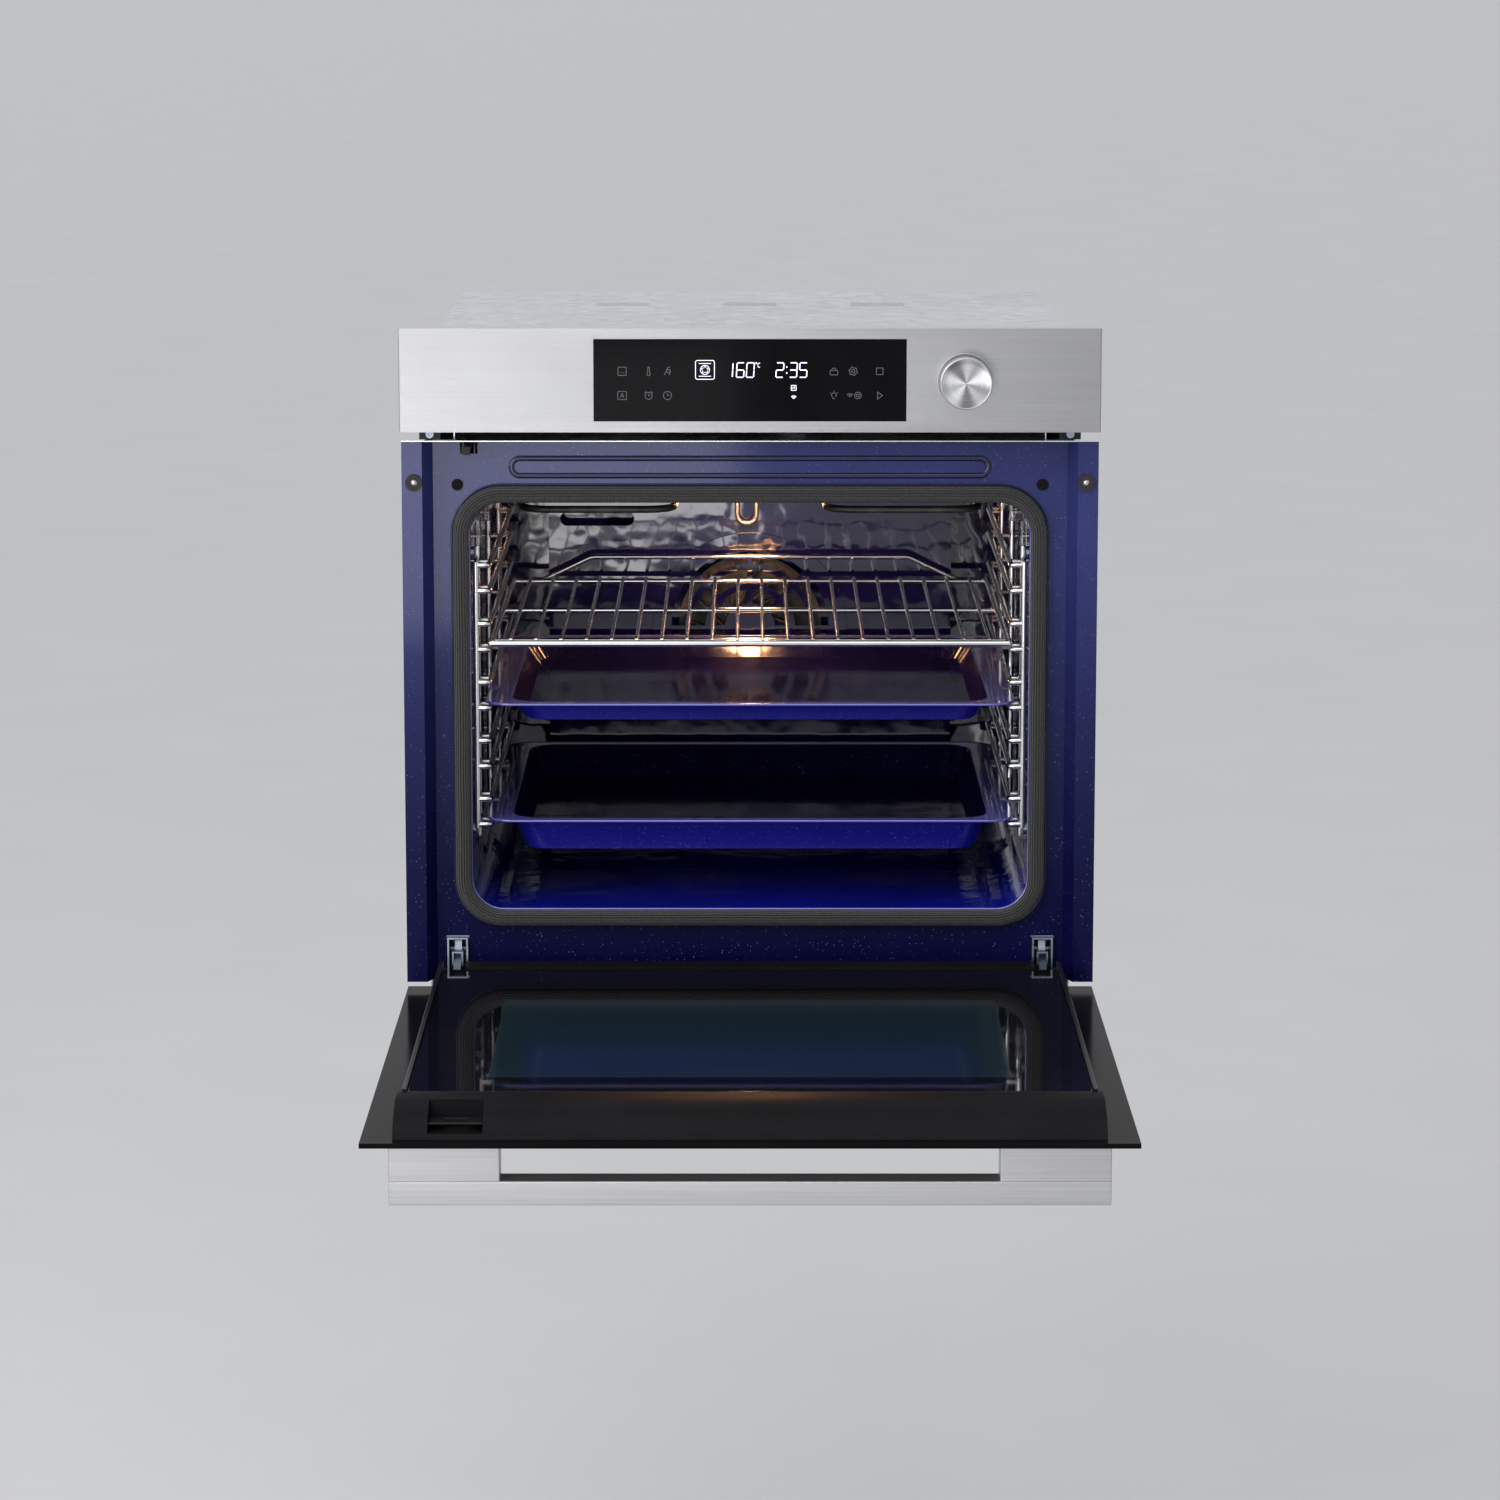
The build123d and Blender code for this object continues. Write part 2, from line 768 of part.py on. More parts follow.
def rear_baffle():
    low = cavity_floor + baffle_foot
    mid_z = low + baffle_height / 2
    plate = facing_slab(0, mid_z, baffle_width, baffle_height, 6, baffle_y, baffle_y + liner_sheet)
    for sign in (-1, 1):
        edge = sign * baffle_width / 2
        inner = edge - sign * baffle_return
        plate += block(min(edge, inner), max(edge, inner), baffle_y + liner_sheet / 2, cavity_rear,
                       low + 12, low + baffle_height - 12)
    rim = rod_y(0, baffle_y - grille_rim_height, baffle_y + liner_sheet / 2, grille_z, grille_rim[1])
    rim -= rod_y(0, baffle_y - 2 * reach, baffle_y + 2 * reach, grille_z, grille_rim[0])
    plate += rim
    for inner_radius, outer_radius in grille_rings:
        ring = rod_y(0, baffle_y - 2 * reach, baffle_y + 2 * reach, grille_z, outer_radius)
        ring -= rod_y(0, baffle_y - 11, baffle_y + 11, grille_z, inner_radius)
        for rib in range(grille_ribs // 2):
            turn = 360 / grille_ribs * rib
            bar = Box(2 * outer_radius + 4, 30, grille_rib)
            ring -= Pos(0, baffle_y, grille_z) * Rot(0, turn, 0) * bar
        plate -= ring
    slot = facing_slab(slot_x, slot_z, slot_length, slot_width, slot_width / 2 - 0.1,
                       baffle_y - reach, baffle_y + reach)
    return plate - slot


def convection_impeller():
    front = baffle_y + liner_sheet + air_clearance
    rear = front + impeller_depth
    disc = rod_y(0, rear - fan_sheet, rear, grille_z, impeller_radius)
    disc += rod_y(0, front, rear, grille_z, impeller_hub)
    for blade in range(impeller_blades):
        turn = 360 / impeller_blades * blade
        length = impeller_radius - impeller_hub * 2 - 3
        vane = Box(length, impeller_depth - over, fan_sheet)
        vane = Pos(impeller_hub * 2 + length / 2, 0, 0) * Rot(0, impeller_blade_turn, 0) * vane
        disc += Pos(0, (front + rear - over) / 2, grille_z) * Rot(0, turn, 0) * vane
    return disc + rod_y(0, rear - over, cavity_rear + fan_motor_stand + shaft_into_motor, grille_z, fan_shaft)


def convection_motor():
    front = cavity_rear + fan_motor_stand
    body = rod_y(0, front, front + fan_motor_length, grille_z, fan_motor_radius)
    body = chamfer(body.edges().filter_by(GeomType.CIRCLE), motor_chamfer)
    tab_half, tab_x = motor_tab_height / 2, fan_motor_radius + motor_tab_length
    tabs = block(-tab_x, tab_x, front, front + motor_tab_thick, grille_z - tab_half, grille_z + tab_half)
    bore = rod_y(0, front - over, front + motor_bore_depth, grille_z, fan_shaft + running_fit)
    return body + tabs - bore


def ring_heater():
    y = (baffle_y + cavity_rear) / 2 + 2
    z = grille_z
    ring = Pos(0, y, z) * Rot(90, 0, 0) * Torus(ring_heater_radius, heater_tube)
    gap = block(-ring_heater_leg, ring_heater_leg, y - 2 * reach, y + 2 * reach,
                z - ring_heater_radius - 2 * reach, z - 40)
    ring -= gap
    for x in (-ring_heater_leg, ring_heater_leg):
        ring += rod_y(x, y, cavity_rear + heater_terminal, z - ring_heater_radius, heater_tube)
        ring += Pos(x, y, z - ring_heater_radius) * Sphere(heater_tube)
    return ring


def grill_z():
    return cavity_top - grill_drop


def grill_element():
    half = grill_width / 2
    z = grill_z()
    rear = cavity_rear + heater_terminal
    inset = half / 3
    turn = grill_rear - 2 * grill_bend - grill_inner_gap
    places = [(-grill_leg, rear), (-grill_leg, grill_rear), (-half, grill_rear), (-half, grill_front),
              (-inset, grill_front), (-inset, turn), (inset, turn), (inset, grill_front),
              (half, grill_front), (half, grill_rear), (grill_leg, grill_rear), (grill_leg, rear)]
    return bent_tube([(x, y, z) for x, y in places], grill_bend, heater_tube)


def bottom_element():
    z = cavity_floor - liner_sheet - bottom_drop
    pitch = bottom_width / bottom_passes
    points = []
    for turn in range(bottom_passes + 1):
        x = -bottom_width / 2 + turn * pitch
        ends = [(x, bottom_rear, z), (x, bottom_front, z)]
        points += ends if turn % 2 == 0 else ends[::-1]
    return bent_tube(points, pitch / 3, heater_tube)


def lamp_housing():
    low = cavity_top
    can = rod_z(0, lamp_y, low, low + lamp_height, lamp_radius + lamp_wall)
    can -= rod_z(0, lamp_y, low - over, low + lamp_height - lamp_wall, lamp_radius)
    socket = rod_z(0, lamp_y, low + bulb_length + 4, low + lamp_height - lamp_wall / 2, bulb_radius - 2)
    return can + socket


def lamp_bulb():
    low = cavity_top + 4
    body = rod_z(0, lamp_y, low + bulb_radius, low + bulb_length, bulb_radius)
    return body + Pos(0, lamp_y, low + bulb_radius) * Sphere(bulb_radius)


def lamp_lens():
    flange = rod_z(0, lamp_y, cavity_top - lens_flange_height, cavity_top,
                   lamp_radius + lamp_wall + lens_flange_lip)
    flange = fillet(flange.edges().filter_by(GeomType.CIRCLE).sort_by(Axis.Z)[0], 1)
    dome = rod_z(0, lamp_y, cavity_top - lens_drop, cavity_top, lamp_radius - lens_inset)
    dome = fillet(dome.edges().filter_by(GeomType.CIRCLE).sort_by(Axis.Z)[0], 3)
    hollow = rod_z(0, lamp_y, cavity_top - lens_drop + lens_wall, cavity_top + over,
                   lamp_radius - 2 * lens_inset)
    return flange + dome - hollow


def probe_y():
    return baffle_y - probe_gap


def probe_leg_x():
    return (probe_x - probe_width / 2, probe_x + probe_width / 2)


def temperature_probe():
    left, right = probe_leg_x()
    y = probe_y()
    high = liner_top + blanket_side
    low = cavity_top - probe_drop
    points = [(left, y, high), (left, y, low), (right, y, low), (right, y, high)]
    return bent_tube(points, probe_width / 2 - 0.5, probe_tube)


# ---------------------------------------------------------------- racks

def level_z(level):
    return rack_first + level * rack_pitch


def rack_span():
    low = level_z(0) - rack_tail
    high = level_z(rack_levels - 1) + rack_pair + rack_tail
    return low, high


def post_places():
    return (rack_front + rack_post_inset, (rack_front + rack_rear) / 2, rack_rear - rack_post_inset)


def stud_places():
    low, high = rack_span()
    posts = post_places()
    return [(side * half_cavity, y, z) for side in (-1, 1) for y in (posts[0], posts[-1])
            for z in (low + 6, high - 6)]


def side_rack(sign):
    low, high = rack_span()
    post_x = sign * rack_post_x
    rail_x = sign * rack_rail_x
    rack = None
    for y in post_places():
        post = rod_z(post_x, y, low, high, rack_post)
        rack = post if rack is None else rack + post
    for level in range(rack_levels):
        for z in (level_z(level), level_z(level) + rack_pair):
            points = [(post_x, rack_front, z), (rail_x, rack_front, z),
                      (rail_x, rack_rear, z), (post_x, rack_rear, z)]
            rack += bent_tube(points, rack_wire + 1.5, rack_wire)
            for y in post_places():
                rack += rod_x(rail_x, post_x, y, z, rack_spacer)
    for y in (rack_front, rack_rear):
        rack += rod_z(post_x, y, level_z(0) - rack_post, high - rack_tail + rack_post, rack_post)
    return rack


def rack_studs():
    studs = []
    for x, y, z in stud_places():
        side = 1 if x > 0 else -1
        face = side * (rack_post_x + rack_post)
        studs.append(rod_x(face, x, y, z, stud_radius) + rod_x(x, x + side * 3, y, z, stud_neck))
    return Compound(children=studs)


# ---------------------------------------------------------------- shelf and trays

def rail_top(level):
    return level_z(level) + rack_wire + slide_gap


def wire_shelf():
    half = shelf_width / 2 - shelf_bar
    z = rail_top(shelf_level) + shelf_bar
    wire_z = z + shelf_bar - shelf_wire + 1.2
    shelf = rod_x(-half, half, shelf_front, z, shelf_bar)
    shelf += rod_x(-half, half, shelf_front + shelf_second_bar, z, shelf_bar * 0.8)
    mid = shelf_front + (shelf_rear - shelf_front) * shelf_mid_share
    shelf += rod_x(-half, half, mid, z, shelf_bar * 0.8)
    shelf += rod_x(-half, half, shelf_rear - 8, z, shelf_bar * 0.8)
    for sign in (-1, 1):
        shelf += rod_y(sign * half, shelf_front, shelf_rear, z, shelf_bar)
        shelf += Pos(sign * half, shelf_front, z) * Sphere(shelf_bar)
    first = -(shelf_wires - 1) / 2 * shelf_wire_pitch
    for wire in range(shelf_wires):
        x = first + wire * shelf_wire_pitch
        shelf += rod_y(x, shelf_front + over, shelf_rear - 7, wire_z, shelf_wire)
    guard_half = guard_width / 2
    points = [(-half, shelf_rear, z), (-guard_half - guard_slope, shelf_rear, z),
              (-guard_half, shelf_rear, z + guard_rise), (guard_half, shelf_rear, z + guard_rise),
              (guard_half + guard_slope, shelf_rear, z), (half, shelf_rear, z)]
    return shelf + bent_tube(points, guard_slope / 3, shelf_bar * 0.8)


def tray(level, depth):
    rim_low = rail_top(level)
    rim_high = rim_low + tray_sheet
    mid_y = (tray_front + tray_rear) / 2
    length = tray_rear - tray_front
    outline = RectangleRounded(tray_width, length, tray_corner)
    rim = Pos(0, mid_y, rim_low) * extrude(outline, tray_sheet)
    wide = tray_width - 2 * tray_rim
    deep = length - 2 * tray_front_rim
    floor_z = rim_high - depth

    def well(shrink, low, high):
        """The tray's pressed well, drafted inwards towards its floor."""
        top = RectangleRounded(wide - shrink, deep - shrink, tray_corner)
        bottom = RectangleRounded(wide - shrink - 2 * tray_draft, deep - shrink - 2 * tray_draft,
                                  tray_corner - tray_draft / 2)
        return loft([Pos(0, mid_y, low) * bottom, Pos(0, mid_y, high) * top])

    outer = well(0, floor_z, rim_high)
    inner = well(2 * tray_sheet, floor_z + tray_sheet, rim_high)
    return rim + outer - inner


# ---------------------------------------------------------------- fascia and controls

def screw_z():
    return fascia_foot - fascia_tab_drop / 2 + 0.5


def control_fascia():
    shell = block(-half_front, half_front, front_y, 0, fascia_foot, front_height)
    front_edges = shell.edges().filter_by(Axis.Z).group_by(Axis.Y)[0]
    shell = fillet(front_edges, fascia_edge_radius)
    shell -= block(-half_front + fascia_sheet, half_front - fascia_sheet, front_y + fascia_sheet, 1,
                   fascia_foot + fascia_sheet, front_height - fascia_sheet)
    shell -= block(-display_width / 2, display_width / 2, front_y - over, front_y + reach,
                   display_centre_z - display_height / 2, display_centre_z + display_height / 2)
    shell -= rod_y(knob_x, front_y - over, front_y + reach, knob_z, shaft_hole)
    for sign in (-1, 1):
        x = sign * fascia_tab_x
        shell += block(x - fascia_tab / 2, x + fascia_tab / 2, -housing_sheet, 0,
                       fascia_foot - fascia_tab_drop, fascia_foot + fascia_sheet)
        shell -= rod_y(x, -3, 1, screw_z(), screw_radius)
    return shell


def display_glass():
    half_x = display_width / 2 - joint_gap
    half_z = display_height / 2 - joint_gap
    return block(-half_x, half_x, front_y - display_proud, front_y - display_proud + display_thick,
                 display_centre_z - half_z, display_centre_z + half_z)


def panel_carrier():
    front = front_y - display_proud + display_thick
    half = half_front - fascia_sheet - carrier_inset
    low = fascia_foot + fascia_sheet + carrier_inset
    high = front_height - fascia_sheet - carrier_inset
    plate = block(-half, half, front, front + carrier_thick, low, high)
    window_x = display_width / 2 - board_inset
    window_z = display_height / 2 - board_inset
    plate -= block(-window_x, window_x, front - over, front + carrier_thick + over,
                   display_centre_z - window_z, display_centre_z + window_z)
    plate -= rod_y(knob_x, front - over, front + 2 * reach, knob_z, shaft_hole)
    for x in (-half, -half / 2, half / 2 - 2, half - 2):
        plate += block(x, x + 2, front + carrier_thick / 2, 0, low, high)
    return plate


def power_board():
    half_x = power_board_width / 2
    half_y = power_board_length / 2
    z = housing_top_in - power_board_drop
    board = block(power_board_x - half_x, power_board_x + half_x,
                  power_board_y - half_y, power_board_y + half_y, z, z + board_thick)
    for part in range(power_parts):
        y = power_board_y - half_y + board_part_start + part * board_part_pitch
        board += block(power_board_x - board_part_inset, power_board_x - board_part_inset + board_part_width,
                       y, y + board_part_length, z - board_part_height, z + board_thick / 2)
        board += rod_z(power_board_x + capacitor_x, y + board_part_length / 2, z - capacitor_height,
                       z + board_thick / 2, capacitor_radius)
    stand_x, stand_y = half_x - board_stand_inset, half_y - board_stand_inset
    for x in (-stand_x, stand_x):
        for y in (-stand_y, stand_y):
            board += rod_z(power_board_x + x, power_board_y + y, z + board_thick / 2, housing_top_in,
                           board_stand_radius)
    return board


def knob_bezel():
    ring = rod_y(knob_x, front_y - bezel_height, front_y, knob_z, bezel_radius)
    return ring - rod_y(knob_x, front_y - reach, front_y + over, knob_z, knob_radius + bezel_gap)


def control_knob():
    back = front_y - knob_gap
    face = back - knob_length
    body = rod_y(knob_x, face, back, knob_z, knob_radius)
    body = chamfer(body.edges().filter_by(GeomType.CIRCLE).group_by(Axis.Y)[0], knob_edge)
    return body - rod_y(knob_x, back - knob_length * knob_socket_share, back + over, knob_z, shaft_radius)


def knob_shaft():
    back = front_y - knob_gap
    return rod_y(knob_x, back - knob_length * knob_socket_share, encoder_front() + sleeve_length, knob_z,
                 shaft_radius)


def encoder_front():
    return front_y - display_proud + display_thick + carrier_thick


def knob_sleeve():
    front = encoder_front() + 1
    sleeve = rod_y(knob_x, front, front + sleeve_length, knob_z, sleeve_radius)
    return sleeve - rod_y(knob_x, front - over, front + sleeve_length + over, knob_z,
                          shaft_radius + running_fit)


def knob_encoder():
    front = encoder_front()
    half = encoder_size / 2
    body = block(knob_x - half, knob_x + half, front, front + encoder_depth, knob_z - half,
                 knob_z + half)
    body -= rod_y(knob_x, front + 1 - joint_gap, front + 1 + sleeve_length + joint_gap, knob_z,
                  sleeve_radius + running_fit)
    body -= rod_y(knob_x, front - over, front + encoder_depth - over, knob_z,
                  shaft_radius + 4 * running_fit)
    return body


# ---------------------------------------------------------------- cooling air

def air_guide():
    half = duct_width / 2
    low = frame_top
    lip = block(-half_front, half_front, -frame_sheet, 0, low, low + duct_sheet)
    floor = block(-half, half, 0, duct_depth + frame_recess, low, low + duct_sheet)
    roof_low = low + duct_height - duct_sheet
    roof = block(-half, half, frame_recess, duct_depth + frame_recess, roof_low, roof_low + duct_sheet)
    duct = lip + floor + roof
    for sign in (-1, 1):
        outer = sign * half
        inner = sign * (half - duct_sheet)
        duct += block(min(outer, inner), max(outer, inner), frame_recess, duct_depth + frame_recess,
                      low, roof_low + duct_sheet)
    return duct


def blower_mouth_box(shrink, rear):
    half = blower_mouth / 2 - shrink
    return block(-half, half, duct_depth + frame_recess, rear, frame_top + shrink,
                 frame_top + duct_height - shrink)


def blower_housing():
    can = rod_z(0, blower_y, blower_foot, blower_foot + blower_height, blower_radius)
    mouth = blower_mouth_box(0, blower_y)
    shell = can + mouth
    shell -= rod_z(0, blower_y, blower_foot + duct_sheet, blower_foot + blower_height - duct_sheet,
                   blower_radius - duct_sheet)
    shell -= Pos(0, -1, 0) * blower_mouth_box(duct_sheet, blower_y)
    shell -= rod_z(0, blower_y, blower_foot - over, blower_foot + reach, rotor_bore)
    return shell - rod_z(0, blower_y, blower_foot, blower_foot + blower_height + reach,
                         fan_shaft + 4 * running_fit)


def cooling_rotor():
    low = blower_foot + (blower_height - rotor_height) / 2
    high = low + rotor_height
    rotor = rod_z(0, blower_y, high - fan_sheet, high, rotor_radius)
    rotor += rod_z(0, blower_y, high - rotor_hub_height, high, rotor_hub)
    rotor += rod_z(0, blower_y, low, low + fan_sheet, rotor_radius)
    rotor -= rod_z(0, blower_y, low - over, low + fan_sheet + over, rotor_radius - rotor_rim)
    for blade in range(rotor_blades):
        vane = Box(rotor_blade_length, rotor_blade_thick, rotor_height)
        vane = Rot(0, 0, rotor_blade_turn) * vane
        vane = Pos(rotor_radius - rotor_blade_length / 2 - over, 0, (low + high) / 2) * vane
        rotor += Pos(0, blower_y, 0) * Rot(0, 0, 360 / rotor_blades * blade) * vane
    return rotor + rod_z(0, blower_y, high - over, blower_foot + blower_height + shaft_into_motor, fan_shaft)


def cooling_motor():
    low = blower_foot + blower_height
    body = rod_z(0, blower_y, low, low + blower_motor_height, blower_motor_radius)
    body = chamfer(body.edges().filter_by(GeomType.CIRCLE).sort_by(Axis.Z)[-1], motor_chamfer)
    return body - rod_z(0, blower_y, low - over, low + motor_bore_depth, fan_shaft + running_fit)


# ---------------------------------------------------------------- mains inlet

def terminal_box():
    half = terminal_size / 2
    rear = housing_depth - housing_sheet
    box = block(terminal_x - half, terminal_x + half, rear - terminal_depth, rear,
                terminal_z - half, terminal_z + half)
    inner = half - terminal_wall
    box -= block(terminal_x - inner, terminal_x + inner, rear - terminal_depth + terminal_wall, rear + over,
                 terminal_z - inner, terminal_z + inner)
    wide, tall = terminal_block_width / 2, terminal_block_height / 2
    foot = rear - terminal_depth + over
    for x in terminal_blocks:
        box += block(terminal_x + x - wide, terminal_x + x + wide, foot, foot + terminal_block_depth,
                     terminal_z - tall, terminal_z + tall)
    return box


def cable_inlet():
    rear = housing_depth
    flange = rod_y(terminal_x, rear, rear + inlet_proud, terminal_z, inlet_flange)
    neck = rod_y(terminal_x, rear - inlet_neck, rear, terminal_z, inlet_radius)
    bore = rod_y(terminal_x, rear - inlet_neck - over, rear + inlet_proud + over, terminal_z, inlet_bore)
    return flange + neck - bore


# ---------------------------------------------------------------- door

def handle_screw_x():
    outer = handle_width / 2
    return [sign * (outer - offset) for sign in (-1, 1) for offset in handle_screw_offsets]


def door_outer_glass():
    half = half_front - door_side_gap
    pane = door_block(-half, half, door_foot, door_rise, glass_face, glass_inner)
    pane = chamfer(pane.edges().filter_by(Axis.X), 0.5)
    for x in handle_screw_x():
        pane -= rod_z(x, hinge_y - handle_screw_rise, hinge_z + glass_face - over,
                      hinge_z + glass_inner + over,
                      handle_screw_hole)
    return pane


def door_inner_glass():
    half = rail_outer_x - rail_wall - joint_gap
    return door_block(-half, half, pane_start, cap_start - joint_gap, pane_lift - glass_thick,
                      pane_lift)


def door_middle_glass():
    half = middle_width / 2
    start = pane_start - middle_bite - joint_gap
    return door_block(-half, half, start, cap_start + middle_bite, middle_lift,
                      middle_lift + middle_thick)


def door_rail(sign):
    def span(x0, x1, lift0, lift1):
        """A strip of the rail between two distances from the door's centre line."""
        low, high = sorted((sign * x0, sign * x1))
        return door_block(low, high, rail_start, cap_start, lift0, lift1)

    wall_x = rail_outer_x - rail_wall
    rail = span(wall_x, rail_outer_x, glass_inner, rail_lift)
    rail += span(wall_x - ledge_width, wall_x, glass_inner, glass_inner + rail_foot)
    ledge_high = pane_lift - glass_thick
    return rail + span(wall_x - ledge_width, wall_x, ledge_high - ledge_thick, ledge_high)


def door_bottom_rail():
    half = bottom_rail_width / 2
    wall = bottom_rail_wall
    rail = door_block(-half, half, rail_start, pane_start - joint_gap, glass_inner, rail_lift)
    rail -= door_block(-half + wall, half - wall, rail_start + wall, pane_start - wall,
                       glass_inner - over, rail_lift - wall)
    slot_half = middle_width / 2 + joint_gap
    slot_low = middle_lift - joint_gap
    slot_high = middle_lift + middle_thick + joint_gap
    return rail - door_block(-slot_half, slot_half, pane_start - wall - over, pane_start + over,
                             slot_low, slot_high)


def cap_outline():
    """The top cap's end outline: flat under the gasket, then falling towards the door's edge."""
    points = [(cap_start, glass_inner), (cap_start, pane_lift), (cap_seal_end, pane_lift),
              (cap_front_rise, cap_front_lift), (cap_end_rise, glass_inner)]
    places = [(hinge_y - rise, hinge_z + lift) for rise, lift in points]
    return make_face(Polyline(*places, close=True))


def cap_prism(outline, x0, x1):
    return Pos(x0, 0, 0) * extrude(Plane.YZ * outline, x1 - x0)


def door_top_cap():
    half = cap_width / 2
    cap = cap_prism(cap_outline(), -half, half)
    hollow = offset(cap_outline(), amount=-cap_wall, kind=Kind.INTERSECTION)
    keeper_low = keeper_x - keeper_width / 2
    keeper_high = keeper_x + keeper_width / 2
    for x0, x1 in ((-half + cap_wall, keeper_low - cap_wall), (keeper_high + cap_wall,
                                                               half - cap_wall)):
        cap -= cap_prism(hollow, x0, x1)
        cap -= door_block(x0, x1, cap_start + cap_wall, cap_front_rise, glass_inner - over,
                          glass_inner + 2 * cap_wall)
    cap -= door_block(keeper_low, keeper_high, keeper_start, cap_end_rise + reach, keeper_floor,
                      pane_lift + reach)
    slot_half = middle_width / 2 + joint_gap
    cap -= door_block(-slot_half, slot_half, cap_start - over, cap_start + middle_bite + joint_gap,
                      middle_lift - joint_gap, middle_lift + middle_thick + joint_gap)
    for x in handle_screw_x():
        cap -= rod_z(x, hinge_y - handle_screw_rise, hinge_z + glass_inner - over,
                     hinge_z + glass_inner + handle_screw_head_height + joint_gap,
                     handle_screw_head + joint_gap)
    return cap


def door_keeper():
    half = keeper_width / 2 - joint_gap
    start = keeper_start + joint_gap
    plate = door_block(keeper_x - half, keeper_x + half, start, keeper_end, keeper_lift,
                       keeper_lift + keeper_plate)
    legs = door_block(keeper_x - half, keeper_x + half, start, start + keeper_plate, keeper_floor,
                      keeper_lift)
    middle = (keeper_start + keeper_end) / 2 + 2
    window = door_block(keeper_x - keeper_window / 2, keeper_x + keeper_window / 2,
                        middle - keeper_window_length / 2, middle + keeper_window_length / 2,
                        keeper_lift - over, keeper_lift + keeper_plate + over)
    return plate + legs - window


# ---------------------------------------------------------------- door lock

def lock_hook():
    low_z = lock_z - hook_height / 2
    half = hook_width / 2
    shank = block(lock_x - half, lock_x + half, hook_tip_y, lock_pivot_y, low_z, low_z + hook_height)
    tooth = block(lock_x - half, lock_x + half, hook_tip_y, hook_tip_y + tooth_thick,
                  low_z - tooth_drop, low_z + hook_height)
    boss = rod_x(lock_x - half, lock_x + half, lock_pivot_y, lock_z, hook_boss)
    bore = rod_x(lock_x - half - over, lock_x + half + over, lock_pivot_y, lock_z,
                 lock_pin + running_fit)
    return shank + tooth + boss - bore


def lock_housing():
    inner = hook_width / 2 + lock_side_gap
    outer = inner + lock_wall
    low = lock_z - lock_housing_foot
    high = frame_top - joint_gap
    rear = lock_pivot_y + lock_housing_rear
    body = block(lock_x - outer, lock_x + outer, frame_recess, rear, low, high)
    body -= block(lock_x - inner, lock_x + inner, frame_recess - over, rear - lock_wall,
                  low + lock_wall, high + over)
    return body + rod_x(lock_x - inner, lock_x + inner, lock_pivot_y, lock_z, lock_pin)


# ---------------------------------------------------------------- hinges

def hinge_receiver(sign):
    x = sign * hinge_x
    half = receiver_width / 2
    rear = receiver_front + receiver_depth
    inner = half - receiver_wall
    shell = block(x - half, x + half, receiver_front, rear, receiver_low, receiver_high)
    shell -= block(x - inner, x + inner, receiver_front - over, rear - receiver_wall,
                   receiver_low + receiver_wall, receiver_high - receiver_wall)
    flange = half + 8
    inside = frame_recess
    shell += block(x - flange, x + flange, inside, inside + receiver_wall, receiver_high - over,
                   receiver_high + 2 * reach)
    for y in rivet_places():
        shell += rod_x(x - inner - 0.5, x + inner + 0.5, y, rivet_z(), rivet_radius)
    return shell


def rivet_places():
    return (arm_knee_y + 14, arm_tail_rear - 8)


def rivet_z():
    return (arm_tail_low + arm_tail_high) / 2


def hinge_arm(sign):
    x = sign * hinge_x
    half = arm_thick / 2
    run_y = arm_knee_y - hinge_y
    run_z = (arm_tail_low + arm_boss) - hinge_z
    length = math.hypot(run_y, run_z)
    side_y = arm_boss * run_z / length
    side_z = arm_boss * run_y / length
    knee_z = hinge_z + run_z
    points = [(hinge_y + side_y, hinge_z - side_z), (arm_knee_y + side_y, knee_z - side_z),
              (arm_tail_rear, arm_tail_low), (arm_tail_rear, arm_tail_high), (arm_knee_y,
                                                                              arm_tail_high),
              (arm_knee_y - side_y, knee_z + side_z), (hinge_y - side_y, hinge_z + side_z)]
    arm = upright_prism(points, x - half, x + half)
    arm += rod_x(x - half, x + half, hinge_y, hinge_z, arm_boss)
    pin_half = case_width / 2 - joint_gap
    arm += rod_x(x - pin_half, x + pin_half, hinge_y, hinge_z, pin_radius)
    for y in rivet_places():
        arm -= rod_x(x - half - over, x + half + over, y, rivet_z(), rivet_radius)
    return arm - rod_x(x - half - over, x + half + over, clip_y, clip_z, clip_pin + running_fit)


def hinge_case(sign):
    x = sign * hinge_x
    half = case_width / 2
    inner = half - case_wall
    case = door_block(x - half, x + half, case_start, case_start + case_length, case_low, case_high)
    case -= door_block(x - inner, x + inner, case_start - over, case_web_start, case_low - over,
                       case_high + over)
    case -= door_block(x - inner, x + inner, case_start - over, case_start + case_length - case_wall,
                       case_low + case_wall, case_high + over)
    stop = door_block(x - inner, x + inner, case_stop_rise, case_stop_rise + case_stop,
                      case_low + case_wall / 2, case_high - over)
    stop -= rod_y(x, hinge_y - case_stop_rise - 2 * reach, hinge_y - case_stop_rise + reach,
                  hinge_z + rod_lift,
                  rod_radius + running_fit)
    return case + stop - rod_x(x - half - over, x + half + over, hinge_y, hinge_z,
                               pin_radius + running_fit)


def hinge_rod(sign):
    x = sign * hinge_x
    z = hinge_z + rod_lift
    start = hinge_y - rod_start
    rod = rod_y(x, start - rod_length - 22, start, z, rod_radius)
    collar_y = hinge_y - rod_collar_rise
    return rod + rod_y(x, collar_y - rod_collar_length, collar_y, z, rod_collar)


